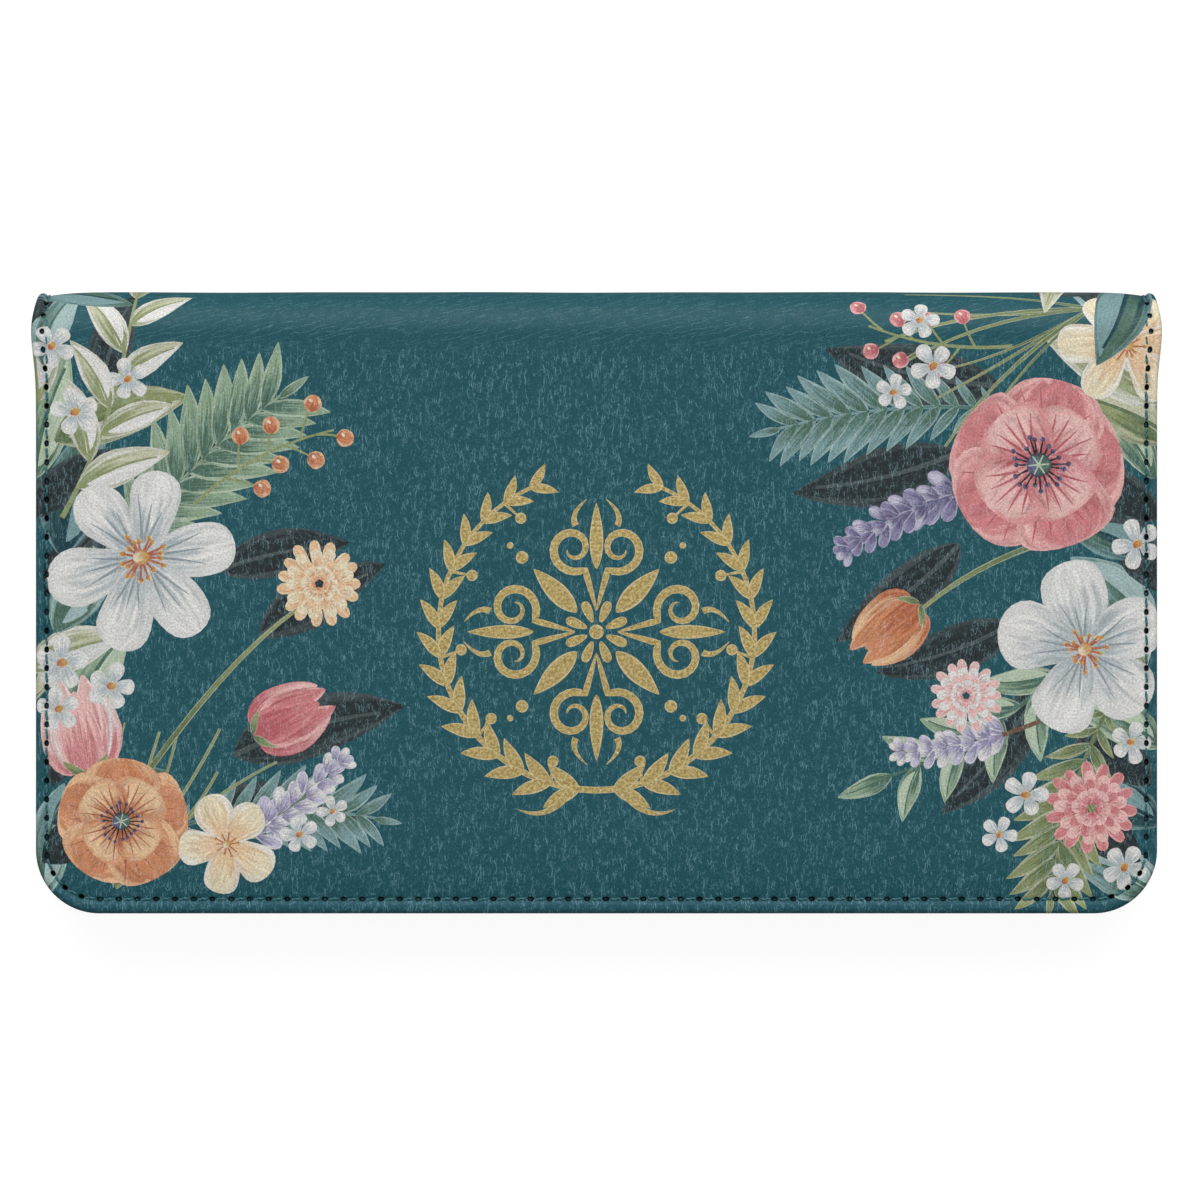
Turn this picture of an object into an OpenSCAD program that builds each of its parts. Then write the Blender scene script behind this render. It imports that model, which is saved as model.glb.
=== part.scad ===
// Bifold checkbook cover, closed and lying on its back panel.
// The fold runs along X at the +Y end. The origin is under the middle, on the back panel's outer face.

/* [Cover] */
// Width of the cover, along the fold
cover_w = 170; // [150:1:220]
// Depth of the closed cover, from its free edge to the crest of the fold
cover_d = 94.5; // [88:0.5:130]
// Thickness of the closed cover over both outer faces
closed_t = 13.2; // [12.8:0.2:20]
// Radius of the two free corners in plan
corner_r = 9.6; // [5:0.2:16]
// Gap between the panels and the spine where they bend
fold_gap = 0.2; // [0.1:0.05:0.4]

/* [Layers] */
// Thickness of the printed outer leather
outer_t = 0.9; // [0.7:0.1:1.3]
// Thickness of the foam under the outer leather
foam_t = 0.6; // [0.4:0.1:1]
// Step of the foam's edge inside the leather's edge
foam_step = 0.2; // [0:0.1:0.6]
// Thickness of the stiffening boards
board_t = 0.6; // [0.4:0.1:1]
// Margin of the boards inside the cover's three open edges
board_margin = 4.4; // [4.2:0.1:8]
// Distance of the boards from the round of the spine
board_setback = 2; // [1:0.5:5]
// Thickness of the lining
lining_t = 0.3; // [0.2:0.1:0.5]

/* [Seams] */
// Distance of the edge seam from the two sides
side_seam = 1.65; // [1.4:0.05:2]
// Distance of the edge seam from the free edge
free_seam = 2.2; // [1.6:0.05:2.4]
// Distance between needle holes in every seam
stitch_pitch = 2.85; // [2:0.05:5]
// Length of a needle hole along its seam
needle_hole = 0.8; // [0.4:0.1:1.2]
// Thickness of the edge seam's thread
thread_d = 0.4; // [0.3:0.05:0.5]
// Thickness of the thread in the pockets
fine_thread_d = 0.3; // [0.2:0.05:0.35]

/* [Pockets] */
// Thickness of the pocket leather
pocket_t = 0.5; // [0.4:0.1:0.8]
// Height of the slit behind each pocket
pocket_slit = 0.3; // [0.2:0.1:0.6]
// Depth of the check pocket from the free edge to its mouth
check_pocket_d = 60; // [45:1:68]
// Depth of the register pocket from the free edge to its mouth
register_pocket_d = 72; // [70:1:78]
// Distance of the hem seams from the pockets' mouths
hem_seam = 2; // [1.5:0.1:4]

/* [Card slots] */
// Width of the card slots, outside
slot_w = 92; // [88:1:120]
// Leather thickness of a card slot
slot_t = 0.3; // [0.25:0.05:0.5]
// Height of the slit behind each card slot
slot_slit = 0.15; // [0.1:0.05:0.25]
// Width of a slot's sewn border
slot_border = 1.6; // [1.2:0.1:3]
// Step from one slot's mouth to the next
slot_step = 10; // [7:0.5:14]
// Distance of the uppermost slot's mouth from the register pocket's mouth
slot_setback = 3; // [2.5:0.5:6]
// Distance of the slots from the pocket's raised end
slot_end_gap = 1; // [0.5:0.5:4]
// Width of the leather round the window
window_border = 6; // [5:0.5:12]
// Corner radius of the window
window_r = 3; // [1:0.5:6]
// Thickness of the clear film in the window
window_film_t = 0.2; // [0.1:0.05:0.3]
// Overlap of the film behind the leather round the window
film_lap = 2.5; // [2:0.5:3]

/* [Divider] */
// Distance of the clear divider sheet from the cover's sides
divider_side = 8; // [6:0.5:20]
// Distance of the clear divider sheet from the cover's free edge
divider_free = 10; // [5:0.5:30]
// Thickness of the clear divider sheet
divider_t = 0.25; // [0.15:0.05:0.35]
// Height of the divider sheet over the check pocket
divider_lift = 0.15; // [0.1:0.05:0.4]
// Depth of the binding strip that holds the sheet
binding_d = 6; // [4:0.5:7]
// Length of the binding strip past each end of the sheet
binding_over = 2; // [1:0.5:3]
// Distance of the binding strip from the board's end
binding_setback = 1.5; // [1:0.5:3]
// Clearance of the divider sheet from its binding as it turns
hinge_gap = 0.15; // [0.1:0.05:0.4]

/* [Hidden] */

leather_colour = [0.17, 0.35, 0.38];
lining_colour = [0.20, 0.42, 0.45];
pocket_colour = [0.22, 0.45, 0.48];
thread_colour = [0.05, 0.16, 0.18];
foam_colour = [0.85, 0.85, 0.82];
board_colour = [0.62, 0.60, 0.56];
clear_colour = [0.85, 0.93, 0.95, 0.35];

round_fn = 180;
small_fn = 24;
overcut = 1;
fit_gap = 0.1;
thread_gap = 0.02;

// The two folds lie half way between the panels' ends and the crest, each turning a right angle
fold_angle = 45;
spine_r = closed_t / 2;
fold_y = cover_d / 2 - spine_r;
free_y = -cover_d / 2;
half_w = cover_w / 2;
cut_angle = fold_gap / 2 / spine_r * 180 / PI;

// Heights inside a panel, counted from its outer face
foam_z = outer_t + foam_t;
board_z = foam_z + board_t;
lining_z = board_z + lining_t;
rim_z = foam_z + lining_t;
slit_z = lining_z + pocket_slit;
pocket_z = slit_z + pocket_t;
divider_z = pocket_z + divider_lift;
slot_pitch_z = slot_slit + slot_t;
window_z = pocket_z + 2 * slot_pitch_z;
film_z = window_z + slot_slit;

// Margins of the raised middle of the lining and of the pockets
raised_margin = board_margin - fit_gap - lining_t;
cavity_margin = raised_margin - fit_gap;
pocket_margin = cavity_margin - pocket_t;

board_end = fold_y - board_setback;
check_mouth = free_y + check_pocket_d;
register_mouth = free_y + register_pocket_d;
binding_end = board_end - binding_setback;
hinge_y = binding_end - binding_d - divider_t / 2 - hinge_gap;
divider_w = cover_w - 2 * divider_side;
divider_y = free_y + divider_free;
binding_w = divider_w + 2 * binding_over;

slot_base = free_y + pocket_margin + slot_end_gap;
slot_mouths = [for (k = [0:2]) register_mouth - slot_setback - k * slot_step];

// The edge seam is one line down a side, round a corner, along the free edge and up the other side
groove_w = thread_d + 0.3;
groove_depth = thread_d + 2 * thread_gap;
seam_x = half_w - side_seam;
seam_y = free_y + free_seam;
seam_r = corner_r - (side_seam + free_seam) / 2;
seam_side = fold_y - seam_y - seam_r;
seam_corner = seam_r * PI / 2;
seam_free = 2 * (seam_x - seam_r);
seam_length = 2 * (seam_side + seam_corner) + seam_free;
seam_count = round(seam_length / stitch_pitch);
seam_step = seam_length / seam_count;
bend_count = max(1, round(spine_r * fold_angle * PI / 180 / stitch_pitch));
bend_step = fold_angle / bend_count;
stitch_run = stitch_pitch - needle_hole;
bend_run = bend_step * stitch_run / stitch_pitch;
hem_groove_w = fine_thread_d + 0.2;
hem_groove_end = 1;
hem_length = 2 * (half_w - pocket_margin - hem_groove_end);

// Point and heading of the edge seam at a distance along it
function seam_at(s) =
  s < seam_side ? [-seam_x, fold_y - s, -90]
  : s < seam_side + seam_corner ? corner_at(-1, 180, s - seam_side)
  : s < seam_side + seam_corner + seam_free ? [-seam_x + seam_r + s - seam_side - seam_corner, seam_y, 0]
  : s < seam_length - seam_side ? corner_at(1, 270, s - seam_side - seam_corner - seam_free)
  : [seam_x, fold_y - seam_length + s, 90];

function corner_at(side, from, s) =
  let (turn = from + s / seam_r * 180 / PI)
  [side * (seam_x - seam_r) + seam_r * cos(turn), seam_y + seam_r + seam_r * sin(turn), turn + 90];

// Plan of a panel's layer, with round corners at its free edge
module plan(side, free, end) {
  r = max(corner_r - (side + free) / 2, 0.5);
  x = half_w - side;
  y = free_y + free;
  translate([-x, y + r])
    square([2 * x, end - y - r]);
  translate([-x + r, y])
    square([2 * (x - r), r + overcut]);
  for (s = [-1, 1])
    translate([s * (x - r), y + r])
      circle(r = r, $fn = round_fn);
}

module slab(low, high, margin, end) {
  translate([0, 0, low])
    linear_extrude(high - low)
      plan(margin, margin, end);
}

// Part of the round of the spine, by its angles from the back panel and its depth under the outer face
module bend(from, to, low, high, x_from, x_to) {
  translate([0, fold_y, spine_r])
    rotate([0, 90, 0])
      rotate([0, 0, from])
        rotate_extrude(angle = to - from, $fn = round_fn)
          translate([spine_r - high, x_from])
            square([high - low, x_to - x_from]);
}

module spine_layer(low, high, margin) {
  bend(fold_angle + cut_angle, 180 - fold_angle - cut_angle, low, high, margin - half_w, half_w - margin);
}

// A layer that covers a panel and bends up to the fold
module panel_layer(low, high, margin) {
  slab(low, high, margin, fold_y);
  bend(0, fold_angle - cut_angle, low, high, margin - half_w, half_w - margin);
}

module front_place() {
  translate([0, 0, closed_t])
    mirror([0, 0, 1])
      children();
}

// Grooves of the edge seam: round a panel, and across a stretch of the bend
module panel_groove() {
  translate([0, 0, -overcut])
    linear_extrude(overcut + groove_depth)
      difference() {
        plan(side_seam - groove_w / 2, free_seam - groove_w / 2, fold_y);
        plan(side_seam + groove_w / 2, free_seam + groove_w / 2, fold_y + overcut);
      }
}

module bend_groove(from, to) {
  for (s = [-1, 1])
    bend(from, to, -overcut, groove_depth, s * seam_x - groove_w / 2, s * seam_x + groove_w / 2);
}

module thread_run(d) {
  rotate([0, 90, 0])
    cylinder(d = d, h = stitch_run, center = true, $fn = small_fn);
}

// Thread across the bend, sunk in the outer face and lying on the lining
module bend_threads(from, count) {
  depths = [groove_depth / 2, rim_z + thread_d / 2 + thread_gap];
  for (s = [-1, 1], k = [0:count - 1], depth = depths)
    translate([0, fold_y, spine_r])
      rotate([0, 90, 0])
        rotate([0, 0, from + (k + 0.5) * bend_step - bend_run / 2])
          rotate_extrude(angle = bend_run, $fn = round_fn)
            translate([spine_r - depth, s * seam_x])
              circle(d = thread_d, $fn = small_fn);
}

// Thread round a panel: sunk in the outer face, and lying on the pocket and the lining inside
module panel_threads(mouth) {
  for (k = [0:seam_count - 1]) {
    at = seam_at((k + 0.5) * seam_step);
    inside = at[1] < mouth + stitch_run / 2 ? rim_z + pocket_t : rim_z;
    for (z = [groove_depth / 2, inside + thread_d / 2 + thread_gap])
      translate([at[0], at[1], z])
        rotate([0, 0, at[2]])
          thread_run(thread_d);
  }
  bend_threads(0, bend_count);
}

// A straight row of fine stitches centred on a point, along X or along Y
module fine_row(length, along_y = false) {
  count = max(1, floor(length / stitch_pitch));
  rotate([0, 0, along_y ? 90 : 0])
    for (k = [0:count - 1])
      translate([(k - (count - 1) / 2) * stitch_pitch, 0, 0])
        thread_run(fine_thread_d);
}

module outer_panel() {
  difference() {
    panel_layer(0, outer_t, 0);
    panel_groove();
    bend_groove(0, fold_angle);
  }
}

module board() {
  slab(foam_z, board_z, board_margin, board_end);
}

// Lining: flat round the edge, raised over the board, and bent up to the fold
module lining() {
  difference() {
    union() {
      panel_layer(foam_z, rim_z, foam_step);
      slab(foam_z, lining_z, raised_margin, board_end + fit_gap + lining_t);
    }
    slab(foam_z - overcut, board_z, board_margin - fit_gap, board_end + fit_gap);
  }
}

// Full-width pocket with a slit behind it that opens towards the fold, and a groove for its hem seam
module pocket(mouth) {
  difference() {
    union() {
      slab(rim_z, rim_z + pocket_t, foam_step, mouth);
      slab(rim_z, pocket_z, pocket_margin, mouth);
    }
    slab(rim_z - overcut, slit_z, cavity_margin, mouth + overcut);
    translate([-hem_length / 2, mouth - hem_seam - hem_groove_w / 2, pocket_z - fine_thread_d])
      cube([hem_length, hem_groove_w, fine_thread_d + overcut]);
  }
}

module hem_threads(mouth) {
  translate([0, mouth - hem_seam, pocket_z - fine_thread_d / 2 + thread_gap])
    fine_row(hem_length - stitch_pitch);
}

module outer_back() {
  color(leather_colour)
    outer_panel();
}

module back_foam() {
  color(foam_colour)
    panel_layer(outer_t, foam_z, foam_step);
}

module back_board() {
  color(board_colour)
    board();
}

module back_lining() {
  color(lining_colour)
    lining();
}

module check_pocket() {
  color(pocket_colour)
    pocket(check_mouth);
}

module check_pocket_stitching() {
  color(thread_colour)
    hem_threads(check_mouth);
}

module back_edge_stitching() {
  color(thread_colour)
    panel_threads(check_mouth);
}

// Strip that holds the divider sheet's edge, sewn on the lining
module divider_binding() {
  color(pocket_colour)
    translate([-binding_w / 2, binding_end - binding_d, lining_z])
      cube([binding_w, binding_d, divider_z + divider_t - lining_z]);
}

module divider_binding_stitching() {
  color(thread_colour)
    translate([0, binding_end - binding_d / 2, divider_z + divider_t + fine_thread_d / 2 + thread_gap])
      fine_row(divider_w);
}

// Clear sheet that turns on its edge at the binding
module divider_sheet() {
  color(clear_colour)
    translate([-divider_w / 2, divider_y, divider_z])
      cube([divider_w, hinge_y - divider_y, divider_t]);
}

module outer_spine() {
  color(leather_colour)
    difference() {
      spine_layer(0, outer_t, 0);
      bend_groove(fold_angle, 180 - fold_angle);
    }
}

module spine_foam() {
  color(foam_colour)
    spine_layer(outer_t, foam_z, foam_step);
}

module spine_lining() {
  color(lining_colour)
    spine_layer(foam_z, rim_z, foam_step);
}

module spine_edge_stitching() {
  color(thread_colour)
    bend_threads(fold_angle, 2 * bend_count);
}

module outer_front() {
  color(leather_colour)
    front_place()
      outer_panel();
}

module front_foam() {
  color(foam_colour)
    front_place()
      panel_layer(outer_t, foam_z, foam_step);
}

module front_board() {
  color(board_colour)
    front_place()
      board();
}

module front_lining() {
  color(lining_colour)
    front_place()
      lining();
}

module register_pocket() {
  color(pocket_colour)
    front_place()
      pocket(register_mouth);
}

module register_pocket_stitching() {
  color(thread_colour)
    front_place()
      hem_threads(register_mouth);
}

// A slot is a sheet with a shallow slit under it that opens at its mouth
module slot(low, thickness, mouth) {
  translate([0, 0, low])
    difference() {
      translate([-slot_w / 2, slot_base, 0])
        cube([slot_w, mouth - slot_base, thickness]);
      translate([slot_border - slot_w / 2, slot_base + slot_border, -overcut])
        cube([slot_w - 2 * slot_border, mouth - slot_base, overcut + slot_slit]);
    }
}

module card_slot_upper() {
  color(pocket_colour)
    front_place()
      slot(pocket_z, slot_pitch_z, slot_mouths[0]);
}

module card_slot_middle() {
  color(pocket_colour)
    front_place()
      slot(pocket_z + slot_pitch_z, slot_pitch_z, slot_mouths[1]);
}

// Rectangle of the window, grown by a margin
module window_outline(grow, r) {
  x = slot_w / 2 - window_border + grow;
  low = slot_base + window_border - grow;
  high = slot_mouths[2] - window_border + grow;
  translate([-x + r, low])
    square([2 * (x - r), high - low]);
  translate([-x, low + r])
    square([2 * x, high - low - 2 * r]);
  for (sx = [-1, 1], y = [low + r, high - r])
    translate([sx * (x - r), y])
      circle(r = r, $fn = round_fn);
}

// Front slot: leather round a window, with a seat for the clear film behind it
module window_slot() {
  color(pocket_colour)
    front_place()
      difference() {
        slot(window_z, slot_slit + window_film_t + slot_t, slot_mouths[2]);
        translate([0, 0, window_z - overcut])
          linear_extrude(overcut + slot_slit + window_film_t)
            window_outline(film_lap + fit_gap, window_r);
        translate([0, 0, window_z - overcut])
          linear_extrude(slot_slit + window_film_t + slot_t + 2 * overcut)
            window_outline(0, window_r);
      }
}

module window_film() {
  color(clear_colour)
    front_place()
      translate([0, 0, film_z])
        linear_extrude(window_film_t)
          window_outline(film_lap, window_r);
}

// Seams down both sides of the slots, each length on the sheet that shows there, and along their closed end
module card_slot_stitching() {
  edge = slot_border / 2;
  tops = [pocket_z + slot_pitch_z, window_z, film_z + window_film_t + slot_t];
  ends = [slot_mouths[1], slot_mouths[2], slot_base + slot_border];
  color(thread_colour)
    front_place() {
      for (k = [0:2], s = [-1, 1])
        translate([
          s * (slot_w / 2 - edge),
          (slot_mouths[k] + ends[k]) / 2,
          tops[k] + fine_thread_d / 2 + thread_gap
        ])
          fine_row(slot_mouths[k] - ends[k], along_y = true);
      translate([0, slot_base + edge, tops[2] + fine_thread_d / 2 + thread_gap])
        fine_row(slot_w - 2 * slot_border);
    }
}

// Seam round the window that holds its film
module window_stitching() {
  out = film_lap / 2;
  x = slot_w / 2 - window_border + out;
  low = slot_base + window_border - out;
  high = slot_mouths[2] - window_border + out;
  top = film_z + window_film_t + slot_t + fine_thread_d / 2 + thread_gap;
  color(thread_colour)
    front_place() {
      for (y = [low, high])
        translate([0, y, top])
          fine_row(2 * x - window_r);
      for (s = [-1, 1])
        translate([s * x, (low + high) / 2, top])
          fine_row(high - low - window_r, along_y = true);
    }
}

module front_edge_stitching() {
  color(thread_colour)
    front_place()
      panel_threads(register_mouth);
}

outer_back();
back_foam();
back_board();
back_lining();
check_pocket();
check_pocket_stitching();
divider_binding();
divider_binding_stitching();
back_edge_stitching();
divider_sheet();
outer_spine();
spine_foam();
spine_lining();
spine_edge_stitching();
outer_front();
front_foam();
front_board();
front_lining();
register_pocket();
register_pocket_stitching();
card_slot_upper();
card_slot_middle();
window_slot();
window_film();
card_slot_stitching();
window_stitching();
front_edge_stitching();
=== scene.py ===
import math
import random

import bmesh
import bpy
import numpy as np
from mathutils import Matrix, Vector
from mathutils.geometry import delaunay_2d_cdt


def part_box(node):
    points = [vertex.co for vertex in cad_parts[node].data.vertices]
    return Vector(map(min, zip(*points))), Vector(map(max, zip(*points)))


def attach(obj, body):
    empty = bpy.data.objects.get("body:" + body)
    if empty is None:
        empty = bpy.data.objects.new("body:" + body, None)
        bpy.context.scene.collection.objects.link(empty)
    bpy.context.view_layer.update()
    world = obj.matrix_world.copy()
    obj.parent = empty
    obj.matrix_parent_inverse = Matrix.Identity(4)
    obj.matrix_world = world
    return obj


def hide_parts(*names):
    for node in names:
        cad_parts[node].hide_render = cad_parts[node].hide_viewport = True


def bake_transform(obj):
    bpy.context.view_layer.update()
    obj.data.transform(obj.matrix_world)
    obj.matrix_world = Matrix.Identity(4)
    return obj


# A folding checkbook cover of printed leather, sewn round its edge, with a lining, pockets and a clear
# divider. Sheets are cut flat and then folded over. A place on a flat sheet is x across the cover and s along
# it from the panel's free edge, both in millimetres. Depth is counted from the cover's outer face.
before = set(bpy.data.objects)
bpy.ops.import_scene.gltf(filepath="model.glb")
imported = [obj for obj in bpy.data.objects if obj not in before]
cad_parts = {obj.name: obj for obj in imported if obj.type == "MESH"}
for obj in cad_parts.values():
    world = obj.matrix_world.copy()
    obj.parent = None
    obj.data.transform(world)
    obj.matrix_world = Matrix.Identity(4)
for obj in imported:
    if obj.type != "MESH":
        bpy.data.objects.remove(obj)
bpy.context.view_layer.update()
millimetre = 0.001


def boxOf(node):
    low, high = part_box(node)
    return np.array(low) / millimetre, np.array(high) / millimetre


frontLow, frontHigh = boxOf("outer_front")
halfWidth = frontHigh[0]
freeY = frontLow[1]
closedZ = frontHigh[2]
foldRadius = closedZ / 2
foldY = boxOf("outer_spine")[1][1] - foldRadius
flatLength = foldY - freeY
crest = flatLength + foldRadius * math.pi / 2  # the middle of the spine, along the sheet


def depthsOf(node):
    low, high = boxOf(node)
    return closedZ - high[2], closedZ - low[2]


def alongOf(node):
    low, high = boxOf(node)
    return low[1] - freeY, high[1] - freeY


foamDepth = depthsOf("front_foam")[0]
liningDepth, boardDepth = depthsOf("front_board")
rimDepth, pocketDepth = depthsOf("register_pocket")
liningThickness = rimDepth - liningDepth
boardEnd = alongOf("front_board")[1]
boardMargin = halfWidth - boxOf("front_board")[1][0]
cornerRadius = 9.6      # of the cover's free corners
hemRadius = 0.5         # of the corners of pockets and slots
arcStep = 0.7           # share of a ring's step on its corners


# Flat sheets

def outline(half, low, high, lowRadius, highRadius=0.0, opened=False):
    return {"half": half, "low": low, "high": high, "lowRadius": lowRadius, "highRadius": highRadius,
            "opened": opened}


def edgeDistance(shape, x, s):
    # how far a place lies inside an outline, and which way the nearest edge is
    toSide = shape["half"] - np.abs(x)
    near, outX, outS = toSide.copy(), np.sign(x), np.zeros_like(x)
    ends = [(s - shape["low"], shape["lowRadius"], -1.0)]
    if not shape["opened"]:
        ends.append((shape["high"] - s, shape["highRadius"], 1.0))
    for toEnd, radius, away in ends:
        closer = toEnd < near
        near, outX = np.where(closer, toEnd, near), np.where(closer, 0, outX)
        outS = np.where(closer, away, outS)
        a, b = radius - toSide, radius - toEnd
        corner = (a > 0) & (b > 0)
        reach = np.hypot(a, b) + 1e-9
        near = np.where(corner, radius - reach, near)
        outX = np.where(corner, np.sign(x) * a / reach, outX)
        outS = np.where(corner, away * b / reach, outS)
    return near, outX, outS


def walkTo(path, end, step):
    start = np.array(path[-1])
    count = max(1, round(float(np.linalg.norm(np.array(end) - start)) / step))
    path += [tuple(start + (np.array(end) - start) * k / count) for k in range(1, count + 1)]


def turnTo(path, centre, radius, start, stop, step):
    count = max(3, round(radius * abs(stop - start) / step))
    for k in range(1, count + 1):
        angle = start + (stop - start) * k / count
        path.append((centre[0] + radius * math.cos(angle), centre[1] + radius * math.sin(angle)))


def ringAt(shape, inset, step, closed=True):
    # the outline moved inwards, from the middle of its low end round both ways
    half, low = shape["half"] - inset, shape["low"] + inset
    high = shape["high"] if shape["opened"] else shape["high"] - inset
    lowRadius = max(shape["lowRadius"] - inset, 0)
    highRadius = 0 if shape["opened"] else max(shape["highRadius"] - inset, 0)
    right = [(0.0, low)]
    walkTo(right, (half - lowRadius, low), step)
    if lowRadius:
        turnTo(right, (half - lowRadius, low + lowRadius), lowRadius, -math.pi / 2, 0, step * arcStep)
    walkTo(right, (half, high - highRadius), step)
    if closed:
        if highRadius:
            turnTo(right, (half - highRadius, high - highRadius), highRadius, 0, math.pi / 2, step * arcStep)
        walkTo(right, (0.0, high), step)
    left = [(-x, s) for x, s in (right[1:-1] if closed else right[1:])]
    return right + left[::-1] if closed else left[::-1] + right


def insideRing(ring, points):
    ring = np.asarray(ring)
    inside = np.zeros(len(points), bool)
    x, y = points[:, 0], points[:, 1]
    for (ax, ay), (bx, by) in zip(ring, np.roll(ring, -1, axis=0)):
        if ay != by:
            crosses = (ay > y) != (by > y)
            inside ^= crosses & (x < ax + (y - ay) * (bx - ax) / (by - ay))
    return inside


def cutSheet(shape, insets, step, spacing, border=None, holes=(), loops=(), rows=()):
    # a flat sheet as triangles, with edges along its rings, holes, loops and rows
    stray = random.Random(1)
    points, edges = [], []

    def lay(chain, closed):
        first = len(points)
        points.extend(tuple(p) for p in chain)
        edges.extend((first + k, first + k + 1) for k in range(len(chain) - 1))
        if closed:
            edges.append((first + len(chain) - 1, first))

    border = ringAt(shape, insets[0], step) if border is None else border
    lay(border, True)
    for inset in insets[1:]:
        lay(ringAt(shape, inset, step, not shape["opened"]), not shape["opened"])
    for hole in holes:
        for inset in insets:
            lay(ringAt(hole, -inset, step), True)
    for chain in loops:
        lay(chain, True)
    reach = shape["half"] - insets[0]
    for row in rows:
        lay([(x, row) for x in np.linspace(-reach, reach, max(2, round(2 * reach / spacing)))], False)
    columns, lines = round(2 * shape["half"] / spacing), round((shape["high"] - shape["low"]) / spacing)
    grid = np.array([(
        -shape["half"] + (i + 0.5 + 0.25 * (j % 2) + stray.uniform(-0.1, 0.1)) * spacing,
        shape["low"] + (j + 0.5 + stray.uniform(-0.1, 0.1)) * spacing,
    ) for i in range(columns) for j in range(lines)])
    keep = edgeDistance(shape, grid[:, 0], grid[:, 1])[0] > insets[-1] + spacing * 0.5
    for hole in holes:
        keep &= edgeDistance(hole, grid[:, 0], grid[:, 1])[0] < -insets[-1] - spacing * 0.5
    points.extend(tuple(p) for p in grid[keep & (grid[:, 1] < shape["high"] - spacing * 0.4)])
    made = delaunay_2d_cdt(points, edges, [], 0, 1e-5)
    flat, faces = np.array([tuple(v) for v in made[0]]), np.array(made[2])
    middles = flat[faces].mean(axis=1)
    keep = insideRing(border, middles)
    for hole in holes:
        keep &= ~insideRing(ringAt(hole, -insets[0], step), middles)
    used, faces = np.unique(faces[keep], return_inverse=True)
    return flat[used], faces.reshape(-1, 3)


def foldOver(x, s, depth, side):
    # from a place on a flat sheet to the cover: flat panel, then round the spine
    bend = np.clip((s - flatLength) / foldRadius, 0, None)
    reach = foldRadius - depth
    y = freeY + np.minimum(s, flatLength) + reach * np.sin(bend)
    z = foldRadius + reach * np.cos(bend)
    return np.stack([x, y, z if side == "front" else closedZ - z], axis=-1)


def smooth(low, high, value):
    t = np.clip((value - low) / (high - low), 0, 1)
    return t * t * (3 - 2 * t)


def addObject(name, data):
    made = bpy.data.objects.new(name, data)
    bpy.context.scene.collection.objects.link(made)
    return made


def newMesh(name, bm):
    mesh = bpy.data.meshes.new(name)
    bm.to_mesh(mesh)
    bm.free()
    return mesh


def newPiece(name, vertices, faces, material):
    mesh = bpy.data.meshes.new(name)
    mesh.from_pydata((vertices * millimetre).tolist(), [], [list(face) for face in faces])
    mesh.update()
    mesh.shade_smooth()
    mesh.materials.append(material)
    return addObject(name, mesh)


def setAttribute(piece, name, kind, domain, values):
    attribute = piece.data.attributes.new(name, kind, domain)
    field = {"FLOAT": "value", "FLOAT_VECTOR": "vector", "FLOAT_COLOR": "color"}[kind]
    attribute.data.foreach_set(field, np.asarray(values, np.float32).ravel())


def setPlaces(piece, x, s):
    setAttribute(piece, "sheetPlace", "FLOAT_VECTOR", "POINT", np.column_stack([x, s, np.zeros(len(x))]))


def outward(place, x, s):
    # the outer face's normal by small steps across the sheet
    step = 0.01
    across = place(x + step, s) - place(x - step, s)
    along = place(x, s + step) - place(x, s - step)
    normal = np.cross(across, along)
    return normal / (np.linalg.norm(normal, axis=1, keepdims=True) + 1e-12)


def borderOf(faces):
    # the points round a flat sheet's edge, in order
    sides = np.sort(np.concatenate([faces[:, [0, 1]], faces[:, [1, 2]], faces[:, [2, 0]]]), axis=1)
    pairs, uses = np.unique(sides, axis=0, return_counts=True)
    beside = {}
    for a, b in pairs[uses == 1].tolist():
        beside.setdefault(a, []).append(b)
        beside.setdefault(b, []).append(a)
    loops = []
    while beside:
        here = min(beside)
        loop = [here]
        while True:
            ahead = [k for k in beside.pop(here) if k in beside]
            if not ahead:
                break
            here = ahead[0]
            loop.append(here)
        loops.append(loop)
    return loops


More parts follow.
